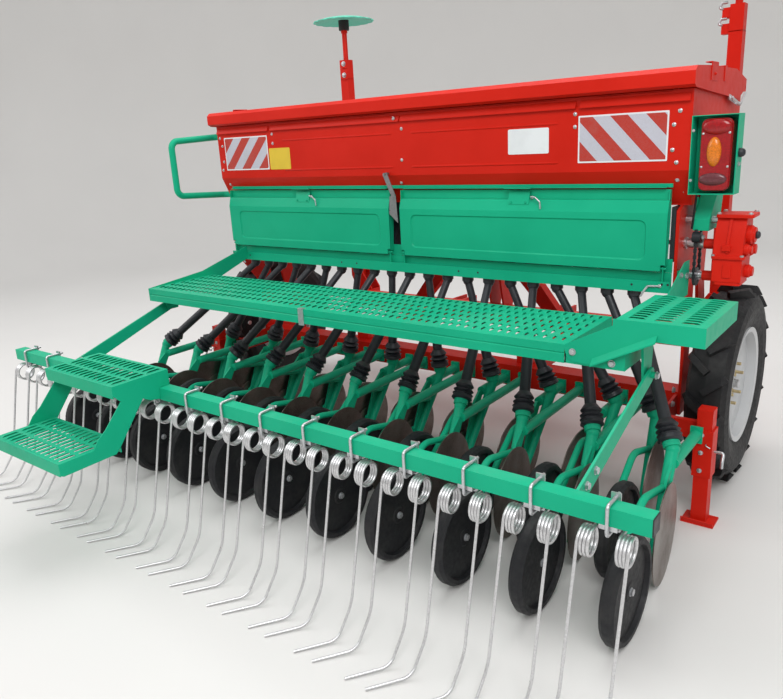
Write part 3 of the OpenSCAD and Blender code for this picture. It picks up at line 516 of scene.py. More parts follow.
class Shape:
    """Vertices and faces of one piece, gathered in millimetres of the machine's own frame."""

    def __init__(self) -> None:
        """Start with nothing and the first finish."""
        self.points: list[Vector] = []
        self.faces: Faces = []
        self.paints: list[int] = []
        self.paint = 0

    def add(self, points: list[Vector], faces: Faces) -> None:
        """Add points and the faces between them.

        Args:
            points: New points.
            faces: Faces as indices into the new points.
        """
        first = len(self.points)
        self.points += [Vector(p) for p in points]
        self.faces += [tuple(first + i for i in f) for f in faces]
        self.paints += [self.paint] * len(faces)

    def box(self, low: Point, high: Point) -> None:
        """Add a box between two corners."""
        corners = [Vector((x, y, z)) for z in (low[2], high[2]) for y in (low[1], high[1])
                   for x in (low[0], high[0])]
        self.add(corners, [(0, 2, 3, 1), (4, 5, 7, 6), (0, 1, 5, 4),
                           (2, 6, 7, 3), (0, 4, 6, 2), (1, 3, 7, 5)])

    def prism(self, axis: Axis, outline: Outline, start: float, end: float) -> None:
        """Add a flat outline with a thickness.

        Args:
            axis: Direction of the thickness; the outline lies in the other two, in their order.
            outline: Corners of the outline.
            start: First face's place along the axis.
            end: Second face's place along the axis.
        """
        def at(p: tuple[float, float], w: float) -> Vector:
            """Corner p of the outline at place w along the axis."""
            parts = list(p)
            parts.insert(axis.value, w)
            return Vector(parts)

        n = len(outline)
        sides = [(i, (i + 1) % n, n + (i + 1) % n, n + i) for i in range(n)]
        self.add([at(p, start) for p in outline] + [at(p, end) for p in outline],
                 [tuple(range(n)), tuple(range(2 * n - 1, n - 1, -1)), *sides])

    def turned(self, foot: Point, along: Point, profile: Outline, sides: int = 16) -> None:
        """Add a body of revolution.

        Args:
            foot: Where the axis starts.
            along: Direction of the axis.
            profile: Pairs of radius and height; a radius of 0 closes the end.
            sides: Number of sides.
        """
        turn = Vector(UPWARD).rotation_difference(Vector(along).normalized())
        rings: list[list[int]] = []
        points: list[Vector] = []
        for radius, height in profile:
            if radius <= 0:
                rings.append([len(points)])
                points.append(Vector(foot) + turn @ Vector((0, 0, height)))
                continue
            rings.append(list(range(len(points), len(points) + sides)))
            points += [Vector(foot) + turn @ Vector((radius * math.cos(a), radius * math.sin(a), height))
                       for a in (2 * math.pi * k / sides for k in range(sides))]
        faces: Faces = []
        for low, high in zip(rings, rings[1:]):
            for k in range(sides):
                n = (k + 1) % sides
                if len(low) == 1:
                    faces.append((low[0], high[n], high[k]))
                elif len(high) == 1:
                    faces.append((low[k], low[n], high[0]))
                else:
                    faces.append((low[k], low[n], high[n], high[k]))
        for ring, flip in ((rings[0], True), (rings[-1], False)):
            if len(ring) > 1:
                faces.append(tuple(reversed(ring)) if flip else tuple(ring))
        self.add(points, faces)

    def rod(self, start: Point, end: Point, radius: float, sides: int = 12) -> None:
        """Add a round rod between two points."""
        way = Vector(end) - Vector(start)
        self.turned(start, way, [(0, 0), (radius, 0), (radius, way.length), (0, way.length)], sides)

    def wire(self, path: list[Point], radius: float, bend: float, sides: int = 10, steps: int = 6) -> None:
        """Add a round wire along a path with rounded corners.

        Args:
            path: Corners of the path.
            radius: Radius of the wire.
            bend: Radius of its bends.
            sides: Sides around the wire.
            steps: Steps in each bend.
        """
        corners = [Vector(p) for p in path]
        line: list[Vector] = [corners[0]]
        for a, b, c in zip(corners, corners[1:], corners[2:]):
            u, v = (b - a).normalized(), (c - b).normalized()
            angle = u.angle(v)
            reach = bend * math.tan(angle / 2)
            middle = b + (v - u).normalized() * bend / math.cos(angle / 2)
            arm = b - u * reach - middle
            spin = u.cross(v).normalized()
            line += [middle + Matrix.Rotation(angle * k / steps, 3, spin) @ arm for k in range(steps + 1)]
        line.append(corners[-1])
        self.tube([tuple(p) for p in line], radius, sides)

    def tube(self, path: list[Point], radius: float, sides: int = 10) -> None:
        """Add a round wire through all places of a path.

        Args:
            path: Places along the wire's middle.
            radius: Radius of the wire.
            sides: Sides around the wire.
        """
        line = [Vector(p) for p in path]
        ways = [(b - a).normalized() for a, b in zip(line, line[1:])]
        side = ways[0].orthogonal().normalized()
        points: list[Vector] = []
        for i, place in enumerate(line):
            way = (ways[max(i - 1, 0)] + ways[min(i, len(ways) - 1)]).normalized()
            side = (side - way * side.dot(way)).normalized()
            other = way.cross(side)
            points += [place + radius * (side * math.cos(t) + other * math.sin(t))
                       for t in (2 * math.pi * k / sides for k in range(sides))]
        faces: Faces = [tuple(reversed(range(sides)))]
        for i in range(len(line) - 1):
            a, b = i * sides, (i + 1) * sides
            faces += [(a + k, a + (k + 1) % sides, b + (k + 1) % sides, b + k) for k in range(sides)]
        faces.append(tuple(range((len(line) - 1) * sides, len(line) * sides)))
        self.add(points, faces)

    def bolt(self, foot: Point, along: Point, size: float, washer: bool = True) -> None:
        """Add a hexagon bolt head on its washer.

        Args:
            foot: Where it sits.
            along: Outward direction.
            size: Thread diameter.
            washer: Whether it has a washer.
        """
        base = SINK
        if washer:
            self.turned(foot, along, [(0, base), (1.05 * size, base), (1.05 * size, 0.16 * size),
                                      (0.5 * size, 0.18 * size)], 16)
            base = 0.14 * size
        top = base + 0.64 * size
        self.turned(foot, along, [(0, base), (0.86 * size, base), (0.90 * size, base + 0.08 * size),
                                  (0.90 * size, top - 0.10 * size), (0.76 * size, top), (0, top)], 6)

    def nut(self, foot: Point, along: Point, size: float) -> None:
        """Add a nut on the end of its thread.

        Args:
            foot: Where it sits.
            along: Outward direction.
            size: Thread diameter.
        """
        self.bolt(foot, along, size)
        self.turned(foot, along, [(0, 0.7 * size), (0.5 * size, 0.7 * size), (0.5 * size, 1.45 * size),
                                  (0.42 * size, 1.6 * size), (0, 1.6 * size)], 12)

    def rivet(self, foot: Point, along: Point, radius: float) -> None:
        """Add a round-headed screw with its collar."""
        self.turned(foot, along, [(0, SINK), (radius, SINK), (radius, 0.18 * radius),
                                  (0.72 * radius, 0.30 * radius), (0.66 * radius, 0.62 * radius),
                                  (0.35 * radius, 0.82 * radius), (0.2 * radius, 0.62 * radius),
                                  (0, 0.6 * radius)], 12)

    def make(self, name: str, body: str, finishes: list[Finish], smooth: float = 35.0,
             bevel: float = 0.0) -> bpy.types.Object:
        """Turn the gathered faces into a piece that rides on a body.

        Args:
            name: Name of the piece.
            body: Body that carries it.
            finishes: Finishes in the order of their numbers.
            smooth: Angle in degrees up to which faces shade as one.
            bevel: Width of the rounded edges in millimetres.

        Returns:
            The new object.
        """
        mesh = bpy.data.meshes.new(name)
        mesh.from_pydata([in_frame(p) for p in self.points], [], self.faces)
        for finish in finishes:
            mesh.materials.append(finish.material())
        mesh.polygons.foreach_set("material_index", self.paints)
        work = bmesh.new()
        work.from_mesh(mesh)
        bmesh.ops.recalc_face_normals(work, faces=work.faces)
        for face in work.faces:
            face.smooth = True
        for edge in work.edges:
            edge.smooth = edge.calc_face_angle(math.pi) < math.radians(smooth)
        work.to_mesh(mesh)
        work.free()
        piece = bpy.data.objects.new(name, mesh)
        bpy.context.scene.collection.objects.link(piece)
        if bevel:
            rounding = piece.modifiers.new("edges", "BEVEL")
            rounding.width = bevel * MM
            rounding.segments = 2
            rounding.limit_method = "ANGLE"
            rounding.angle_limit = math.radians(40)
            rounding.harden_normals = True
        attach(piece, body)
        LOG.info("%s: %d faces on %s", name, len(self.faces), body)
        return piece


@dataclass
class LouvreSheet:
    """Tread sheet with bands of raised slots, as on the walkway and the steps."""

    low: tuple[float, float]
    high: tuple[float, float]
    top: float
    bands: int
    slots: int
    margins: tuple[float, float, float, float] = (14.0, 14.0, 14.0, 14.0)
    turned: bool = False
    slot_length: float = 34.0
    slot_width: float = 15.0
    rise: float = 6.0
    thick: float = 3.0
    hood_thick: float = 1.8

    def spread(self, low: float, high: float, count: int) -> Outline:
        """Equal stretches between two places.

        Args:
            low: First place.
            high: Last place.
            count: Number of stretches.

        Returns:
            Start and end of each stretch.
        """
        step = (high - low) / count
        return [(low + k * step, low + (k + 1) * step) for k in range(count)]

    def slot_cell(self, shape: Shape, x: tuple[float, float], y: tuple[float, float]) -> None:
        """Add one cell of the sheet with its slot and the hood that rises over one side of it.

        Args:
            shape: Shape to be added to.
            x: Start and end of the cell across the machine.
            y: Start and end of the cell along the travel.
        """
        cx, cy = sum(x) / 2, sum(y) / 2
        half_u, half_v = (x[1] - x[0]) / 2, (y[1] - y[0]) / 2
        if self.turned:
            half_u, half_v = half_v, half_u
        a, b = self.slot_width / 2, self.slot_length / 2

        def at(u: float, v: float, w: float) -> Vector:
            """Place across the slot, along it and above the sheet."""
            return Vector((cx + v, cy + u, self.top + w) if self.turned else (cx - u, cy + v, self.top + w))

        corners = ((-1, -1), (1, -1), (1, 1), (-1, 1))
        rings = [(s * half_u, t * half_v) for s, t in corners] + [(s * a, t * b) for s, t in corners]
        points = [at(u, v, w) for w in (0.0, -self.thick) for u, v in rings]
        faces: Faces = []
        for k in range(4):
            n = (k + 1) % 4
            faces += [(k, n, 4 + n, 4 + k), (8 + n, 8 + k, 12 + k, 12 + n), (4 + k, 4 + n, 12 + n, 12 + k)]
        shape.add(points, faces)
        rows = ((1.12, 0.0), (0.72, 0.55), (0.28, 0.92), (-0.12, 1.0), (-0.5, 0.8))
        n, last = 4 * len(rows), 4 * len(rows) - 4
        hood = [at(share * a, end * b, self.rise * (0.0 if abs(end) == 1.0 else lift) - sink)
                for sink in (0.0, self.hood_thick) for share, lift in rows for end in (-1.0, -0.66, 0.66, 1.0)]
        strips: Faces = []
        for i in range(0, last, 4):
            strips += [(i + k, i + k + 1, i + k + 5, i + k + 4) for k in range(3)]
            strips += [(n + i + k + 4, n + i + k + 5, n + i + k + 1, n + i + k) for k in range(3)]
            strips += [(i, i + 4, n + i + 4, n + i), (i + 7, i + 3, n + i + 3, n + i + 7)]
        strips += [(last + k, last + k + 1, n + last + k + 1, n + last + k) for k in range(3)]
        strips += [(k + 1, k, n + k, n + k + 1) for k in range(3)]
        shape.add(hood, strips)

    def build(self, shape: Shape) -> None:
        """Add the whole sheet.

        Args:
            shape: Shape to be added to.
        """
        z, t = self.top, self.thick
        left, right, rear, front = self.margins
        (x0, y0), (x1, y1) = self.low, self.high
        rims = (((x0, y0), (x1, y0 + rear)), ((x0, y1 - front), (x1, y1)),
                ((x0, y0 + rear), (x0 + left, y1 - front)), ((x1 - right, y0 + rear), (x1, y1 - front)))
        for low, high in rims:
            shape.box((*low, z - t), (*high, z))
        across, along = (self.bands, self.slots) if self.turned else (self.slots, self.bands)
        for y in self.spread(y0 + rear, y1 - front, along):
            for x in self.spread(x0 + left, x1 - right, across):
                self.slot_cell(shape, x, y)


# Stage, camera and light


@dataclass
class Studio:
    """Plain pale floor with a curved backdrop, soft lamps and the camera at the photograph's place."""

    place: Point = (2.0451, -2.525, 1.501)
    yaw: float = -38.08
    pitch: float = 16.4
    roll: float = -3.19
    lens: float = 32.95
    floor: Colour = (0.70, 0.69, 0.675)
    sky: Colour = (0.90, 0.905, 0.91)
    sky_strength: float = 0.75
    reach: float = 7.0
    corner: float = 3.0
    wall: float = 6.0

    def camera(self) -> None:
        """Place the camera as it stood for the photograph."""
        yaw, pitch, roll = (math.radians(v) for v in (self.yaw, self.pitch, self.roll))
        ahead = Vector((math.sin(yaw) * math.cos(pitch), math.cos(yaw) * math.cos(pitch), -math.sin(pitch)))
        level = Vector((math.cos(yaw), -math.sin(yaw), 0.0))
        up = level.cross(ahead)
        right = math.cos(roll) * level + math.sin(roll) * up
        top = -math.sin(roll) * level + math.cos(roll) * up
        data = bpy.data.cameras.new("camera")
        data.lens = self.lens
        data.sensor_width = 36.0
        data.clip_end = 100.0
        eye = bpy.data.objects.new("camera", data)
        turn = Matrix((right, top, -ahead)).transposed().to_4x4()
        eye.matrix_world = Matrix.Translation(Vector(self.place)) @ turn
        bpy.context.scene.collection.objects.link(eye)
        bpy.context.scene.camera = eye

    def backdrop(self) -> None:
        """Lay the floor, with a soft curve up far behind."""
        graph = Graph("floor_paper")
        cloud = graph.fit(graph.noise(0.8, 3.0), 0.3, 0.7, 0.0, 1.0)
        graph.bump(graph.noise(160.0, 3.0), 0.05, 0.001)
        light = tuple(1.03 * c for c in self.floor)
        graph.set(Base_Color=graph.mix(cloud, self.floor, light), Roughness=0.85)
        reach, corner, wall, steps = self.reach, self.corner, self.wall, 12
        ring = [(0.0, 0.0), (reach, 0.0)]
        ring += [(reach + corner * math.sin(a), corner - corner * math.cos(a))
                 for a in (math.pi / 2 * k / steps for k in range(1, steps + 1))]
        ring.append((reach + corner, wall))
        sides = 72
        work = bmesh.new()
        middle = work.verts.new((0, 0, 0))
        before: list[bmesh.types.BMVert] = []
        for radius, height in ring[1:]:
            row = [work.verts.new((radius * math.cos(t), radius * math.sin(t), height))
                   for t in (2 * math.pi * k / sides for k in range(sides))]
            for k in range(sides):
                n = (k + 1) % sides
                inner = (before[k], row[k], row[n], before[n]) if before else (middle, row[k], row[n])
                work.faces.new(inner)
            before = row
        for face in work.faces:
            face.smooth = True
        mesh = bpy.data.meshes.new("floor")
        work.to_mesh(mesh)
        work.free()
        mesh.materials.append(graph.material)
        floor = bpy.data.objects.new("floor", mesh)
        bpy.context.scene.collection.objects.link(floor)

    def lamp(self, name: str, place: Point, target: Point, size: float, power: float) -> None:
        """Hang one soft lamp.

        Args:
            name: Name of the lamp.
            place: Where it hangs.
            target: What it faces.
            size: Side of its square.
            power: Power in watts.
        """
        data = bpy.data.lights.new(name, "AREA")
        data.shape = "SQUARE"
        data.size = size
        data.energy = power
        lamp = bpy.data.objects.new(name, data)
        lamp.location = Vector(place)
        lamp.rotation_euler = (Vector(target) - Vector(place)).to_track_quat("-Z", "Y").to_euler()
        bpy.context.scene.collection.objects.link(lamp)

    def light(self) -> None:
        """Soft sky and three large lamps."""
        world = bpy.data.worlds.new("sky")
        world.use_nodes = True
        shade = world.node_tree.nodes["Background"]
        shade.inputs[0].default_value = (*self.sky, 1.0)
        shade.inputs[1].default_value = self.sky_strength
        bpy.context.scene.world = world
        self.lamp("key", (3.6, -4.6, 5.6), (0.0, 0.0, 0.7), 3.2, 260.0)
        self.lamp("fill", (-5.0, -3.2, 4.2), (0.0, 0.0, 0.7), 3.6, 90.0)
        self.lamp("top", (0.0, 1.2, 5.8), (0.0, 0.0, 0.6), 4.0, 150.0)

    def build(self) -> None:
        """Set up camera, backdrop and light."""
        self.camera()
        self.backdrop()
        self.light()
        bpy.context.scene.view_settings.view_transform = "Standard"
        LOG.info("studio set up")


# Sub-assemblies


@dataclass
class CadFinishes:
    """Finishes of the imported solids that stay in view."""

    frame: dict

    def build(self) -> None:
        """Give each solid the finish of its slot or its own one."""
        slots = {part["node"]: part["material_slot"] for part in self.frame["record"]["subparts"]}
        for name, node in self.frame["nodes"].items():
            finish = NODE_OWN.get(name) or NODE_FINISHES[slots[name]]
            for place in node.material_slots:
                place.material = finish.material()
        LOG.info("finishes on %d solids", len(self.frame["nodes"]))


@dataclass
class HopperTrim:
    """Beads, ledges, seam bolts, foils and boards on the hopper's rear sheet."""

    face: float = 880.0
    half: float = 1262.0
    ledge_low: float = 1572.0
    ledge_high: float = 1600.0
    bead_rows: tuple[float, ...] = (1372.0, 1521.0)
    bead_ends: tuple[float, float] = (50.0, 770.0)
    ledge_out: float = 13.0
    screw: float = 7.5
    seam_screws: tuple[tuple[float, float], ...] = (
        (1227, 1540), (1208, 1494), (1207, 1407), (1223, 1363), (-1250, 1550), (-1236, 1508), (-1236, 1424),
        (-1250, 1379), (4, 1540), (-1, 1403), (836, 1552), (836, 1505), (-836, 1555), (-836, 1508))
    slope_screws: tuple[float, ...] = (-1225.0, -22.0, 1225.0)
    slope_top: float = 1335.0
    slope: float = 0.49

    def bead(self, shape: Shape, x0: float, x1: float, z: float, half: float = 4.5,
             rise: float = 3.0) -> None:
        """Add one pressed bead with its run-out ends.

        Args:
            shape: Shape to be added to.
            x0: Left end.
            x1: Right end.
            z: Height.
            half: Half height of the bead.
            rise: How far it stands out.
        """
        y = self.face
        arc = [(half * math.cos(a), rise * math.sin(a)) for a in (math.pi * k / 8 for k in range(9))]
        points = [Vector((x, y - r * scale, z + h * scale)) for x, scale in
                  ((x0, 0.05), (x0 + 8, 0.8), (x0 + 16, 1.0), (x1 - 16, 1.0), (x1 - 8, 0.8), (x1, 0.05))
                  for h, r in arc]
        n = len(arc)
        faces = [(i * n + k, i * n + k + 1, i * n + n + k + 1, i * n + n + k)
                 for i in range(5) for k in range(n - 1)]
        shape.add(points, faces)

    def build(self) -> None:
        """Build the red trim, the bolts, the foils and the boards."""
        y = self.face
        red = Shape()
        for side in (-1, 1):
            for z in self.bead_rows:
                ends = sorted(side * e for e in self.bead_ends)
                self.bead(red, ends[0], ends[1], z)
            for a, b in ((4, 840), (858, self.half)):
                ends = sorted((side * a, side * b))
                red.prism(Axis.X, [(y, self.ledge_low), (y - self.ledge_out, self.ledge_low),
                                   (y - self.ledge_out, self.ledge_low + 4), (y - 1, self.ledge_high),
                                   (y, self.ledge_high)], *ends)
                self.bead(red, ends[0] + 60, ends[1] - 60, self.ledge_high + 6, 3.0, 2.2)
        red.make("hopper_beads", "machine", [RED], 30.0)
        bolts = Shape()
        for x, z in self.seam_screws:
            bolts.rivet((x, y, z), REARWARD, self.screw)
        bolts.rivet((-30, y - 12, 1587), REARWARD, 8.0)
        for x in self.slope_screws:
            bolts.rivet((x, y + (self.slope_top - 1300) * self.slope, 1300), (0, -1, -0.45), self.screw)
        bolts.make("hopper_screws", "machine", [ZINC])
        self.board("hazard_board_right", 850, 1190, 1369, 1544, BOARD_RIGHT)
        self.board("hazard_board_left", -1216, -876, 1377, 1551, BOARD_LEFT)
        self.plate("bare_plate_white", 546, 727, 1410, 1509, WHITE_FOIL)
        self.plate("bare_plate_yellow", -868, -716, 1376, 1484, YELLOW_FOIL)

    def plate(self, name: str, x0: float, x1: float, z0: float, z1: float, finish: Finish) -> None:
        """Add a bare foil plate on the rear sheet."""
        shape = Shape()
        shape.prism(Axis.Y, rounded(x0, x1, z0, z1, 6), self.face - 1.2, self.face)
        shape.make(name, "machine", [finish])

    def board(self, name: str, x0: float, x1: float, z0: float, z1: float, finish: Finish) -> None:
        """Add one striped board with its pale border."""
        shape = Shape()
        shape.prism(Axis.Y, rounded(x0, x1, z0, z1, 3), self.face - 1.6, self.face)
        shape.paint = 1
        shape.prism(Axis.Y, rounded(x0 + 6, x1 - 6, z0 + 6, z1 - 6, 1), self.face - 2.0, self.face - 1.5)
        shape.make(name, "machine", [WHITE_FOIL, finish])


@dataclass
class Walkway:
    """Tread sheet of the walkway with its folded edges and the clip at its rear."""

    half: float = 1108.0
    rear: float = 198.0
    depth: float = 401.0
    top: float = 845.0
    apron: float = 62.0
    sheet: float = 3.0
    clip: tuple[float, float] = (-70.0, -40.0)

    def build(self) -> None:
        """Build the walkway in place of its solid."""
        t = self.sheet
        shape = Shape()
        LouvreSheet((-self.half, self.rear), (self.half, self.rear + self.depth), self.top, 6, 65,
                    (14.0, 14.0, 27.0, 3.0)).build(shape)
        low = self.top - self.apron
        y, z = self.rear, self.top
        shape.prism(Axis.X, [(y, z - t), (y, z - 26), (y + 3, z - 30), (y, z - 34), (y, low), (y + 14, low),
                             (y + 14, low + t), (y + t, low + t), (y + t, z - t)], -self.half, self.half)
        end = self.rear + self.depth
        shape.box((-self.half, end - t, self.top - 40), (self.half, end, self.top - t))
        piece = shape.make("walkway_tread", "machine", [GREEN])
        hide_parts("walkway")
        clip = Shape()
        x0, x1 = self.clip
        clip.prism(Axis.Y, [(x0, low - 8), (x1, low - 8), (x1, z + 2), (x0, z + 2)], y - 3, y)
        clip.box((x0, y - 3, z), (x1, y + 16, z + 2.5))
        clip.make("walkway_clip", "machine", [ZINC], bevel=0.6)


@dataclass
class Ladder:
    """Two-step ladder on the harrow beam with slotted treads."""

    left: float = -870.0
    right: float = -380.0
    rear: float = -750.0
    depth: float = 250.0
    upper: float = 665.0
    lower: float = 450.0
    fold: float = 50.0
    plate: float = 4.0
    beam: tuple[float, float] = (-275.0, 575.0)
    beam_half: float = 25.3

    def tread(self, shape: Shape, y: float, z: float) -> None:
        """Add one tread with its folded edges.

        Args:
            shape: Shape to be added to.
            y: Rear edge.
            z: Height of the tread.
        """
        t, end, low = self.plate, y + self.depth, z - self.fold
        left, right = self.left + t, self.right - t
        LouvreSheet((left, y), (right, end), z, 3, 14, (12.0, 12.0, 10.0, 8.0),
                    slot_length=66.0, slot_width=14.0, rise=6.0, thick=t).build(shape)
        for a, b in ((y, y + t), (end - t, end)):
            shape.prism(Axis.X, [(a, z - t), (a, low), (b, low), (b, z - t)], left, right)

    def build(self) -> None:
        """Build the ladder in place of its solid."""
        shape = Shape()
        y0, y1 = self.rear, self.rear + self.depth
        self.tread(shape, y1, self.upper)
        self.tread(shape, y0, self.lower)
        z1, z2 = self.upper, self.lower
        beam_rear, beam_top = self.beam[0] - self.beam_half, self.beam[1] + self.beam_half
        y2 = y1 + self.depth
        side = [(y0, z2), (y0, z2 - 45), (y0 + 14, z2 - 52), (y1 - 25, z2 - 48), (y1 - 3, z2 - 26),
                (y1 + 122, z1 - 85), (y1 + 155, z1 - 103), (beam_rear, z1 - 110), (beam_rear, beam_top),
                (y2, beam_top), (y2, z1), (y1, z1), (y1, z1 - 38), (y1 + 28, z1 - 67), (y1 - 52, z1 - 154),
                (y1 - 89, z2 + 32), (y1 - 112, z2)]
        for x in (self.left, self.right - self.plate):
            shape.prism(Axis.X, side, x, x + self.plate)
        piece = shape.make("ladder_steps", "harrow", [GREEN], bevel=0.8)
        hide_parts("ladder")


@dataclass
class TailLamp:
    """Tail lamp with three lens domes, its screws and the rim around it."""

    left: float = 1300.0
    right: float = 1404.0
    low: float = 1262.0
    high: float = 1508.0
    face: float = 880.0
    lens_depth: float = 7.0
    box_out: float = 6.0
    screw_heights: tuple[float, float] = (1345.0, 1458.0)
    box_bolts: tuple[tuple[float, float], ...] = ((1277.0, 1300.0), (1277.0, 1470.0))
    knob: Point = (1424.0, 904.0, 1390.0)
    lenses: tuple[tuple[float, ...], ...] = ((0, 1480, 49, 27, 11), (-4, 1396, 24, 50, 14),
                                             (-3, 1303, 47, 22, 10))

    def dome(self, shape: Shape, x: float, z: float, half_x: float, half_z: float, rise: float) -> None:
        """Add an oval lens dome.

        Args:
            shape: Shape to be added to.
            x: Middle across the machine.
            z: Middle height.
            half_x: Half width.
            half_z: Half height.
            rise: How far it stands out.
        """
        rings, sides = 5, 28
        points = [Vector((x, self.face - rise, z))]
        for k in range(1, rings + 1):
            a = math.pi / 2 * k / rings
            points += [Vector((x + half_x * math.sin(a) * math.cos(t), self.face - rise * math.cos(a),
                               z + half_z * math.sin(a) * math.sin(t)))
                       for t in (2 * math.pi * n / sides for n in range(sides))]
        faces: Faces = [(0, 1 + n, 1 + (n + 1) % sides) for n in range(sides)]
        for k in range(rings - 1):
            a, b = 1 + k * sides, 1 + (k + 1) * sides
            faces += [(a + n, b + n, b + (n + 1) % sides, a + (n + 1) % sides) for n in range(sides)]
        shape.add(points, faces)

    def build(self) -> None:
        """Build the housing in place of its solid, the lenses, the screws and the knob on the box."""
        middle = (self.left + self.right) / 2
        housing = Shape()
        seam = self.face + self.lens_depth
        housing.prism(Axis.Y, rounded(self.left, self.right, self.low, self.high, 22), seam, seam + 60)
        housing.paint = 1
        housing.prism(Axis.Y, rounded(self.left + 3, self.right - 3, self.low + 3, self.high - 3, 20),
                      self.face, seam)
        piece = housing.make("lamp_housing", "machine", [RED_LENS, RED_LENS], 35.0, bevel=2.0)
        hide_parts("lamp")
        shape = Shape()
        for shape.paint, (x, z, half_x, half_z, rise) in enumerate(self.lenses):
            self.dome(shape, middle + x, z, half_x, half_z, rise)
        shape.make("lamp_lenses", "machine", [RED_LENS, AMBER_LENS, CLEAR_LENS], 60.0)
        screws = Shape()
        for x in (self.left + 9, self.right - 9):
            for z in self.screw_heights:
                screws.rivet((x, self.face, z), REARWARD, 4.0)
        for x, z in self.box_bolts:
            screws.bolt((x, self.face - self.box_out, z), REARWARD, 5)
        screws.bolt((self.knob[0], self.knob[1], 1352), RIGHTWARD, 8)
        screws.make("lamp_screws", "machine", [ZINC])
        knob = Shape()
        knob.turned(self.knob, RIGHTWARD, [(0, SINK), (15, SINK), (16, 6), (13, 15), (8, 20), (0, 21)], 18)
        knob.make("lamp_knob", "machine", [PLASTIC], 50.0)


@dataclass
class SideStep:
    """Side step with its slotted tread, the plate that leads up to it and the folded rim under it."""

    left: float = 1270.0
    right: float = 1530.0
    inner: float = 1108.0
    rear: float = 198.0
    depth: float = 370.0
    top: float = 945.0
    walk_top: float = 845.0
    walk_depth: float = 401.0
    apron: float = 62.0
    skirt: float = 60.0
    sheet: float = 3.0

    def rear_plate(self) -> Outline:
        """Outline of the rear plate with its arcs."""
        arc = [(1113, 816), (1119, 803), (1129, 796), (1144, 792), (1166, 790), (1205, 790)]
        return [(self.inner, self.walk_top), (self.inner, 830), *arc, (1395, 888),
                (self.right, self.top - self.skirt), (self.right, self.top), (1262, self.top), (1262, 924),
                (self.inner + 10, self.walk_top + 5)]

    def strip(self, shape: Shape) -> None:
        """Add the rim that is folded out under the rear plate."""
        ends, edges = ((1200, 788), (1396, 887)), ((self.rear - 17, 0), (self.rear + 2, 20))
        shape.add([Vector((x, w, h + up + g)) for g in (0, 5) for x, h in ends for w, up in edges],
                  [(0, 1, 3, 2), (4, 6, 7, 5), (0, 2, 6, 4), (1, 5, 7, 3), (0, 4, 5, 1), (2, 3, 7, 6)])

    def build(self) -> None:
        """Build the side step in place of its solid."""
        t, y, z = self.sheet, self.rear, self.top
        end, skirt = y + self.depth, z - self.skirt
        shape = Shape()
        LouvreSheet((self.left, y + 4), (self.right - t, end - t), z, 3, 12, (14.0, 10.0, 22.0, 4.0),
                    turned=True, slot_length=54.0, slot_width=14.0).build(shape)
        shape.box((self.right - t, y + 4, skirt), (self.right, end, z))
        shape.box((self.left, end - t, z - 34), (self.right - t, end, z))
        shape.prism(Axis.Y, self.rear_plate(), y, y + 4)
        self.strip(shape)
        x, low = self.inner, self.walk_top - self.apron
        shape.box((x, y + 4.2, low), (1303, y + 7.2, self.walk_top - 9))
        shape.prism(Axis.X, [(y + 7.2, low), (y + 7.2, 836), (424, 822), (424, low)], 1300, 1303)
        shape.prism(Axis.X, [(y + 4.2, low), (y + 4.2, self.walk_top), (y + self.walk_depth, self.walk_top),
                             (y + self.walk_depth, self.walk_top - 60)], x, x + 4)
        shape.prism(Axis.X, [(y + 4, skirt), (y + 4, z - t), (end - t, z - t), (640, 925), (714, 915),
                             (900, 1000), (960, 1000), (960, 866), (700, 866), (560, skirt)],
                    self.left - 4, self.left)
        shape.box((1242, 905, 925), (self.left - 4, 940, 965))
        piece = shape.make("side_step_tread", "machine", [GREEN])
        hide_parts("side_step")
        bolts = Shape()
        bolts.bolt((1136, y, 824), REARWARD, 11)
        bolts.bolt((1262, y + 4, 802), REARWARD, 11)
        bolts.bolt((self.left, 850, 960), RIGHTWARD, 10)
        bolts.bolt((self.left, 925, 945), RIGHTWARD, 12)
        bolts.make("side_step_bolts", "machine", [ZINC])


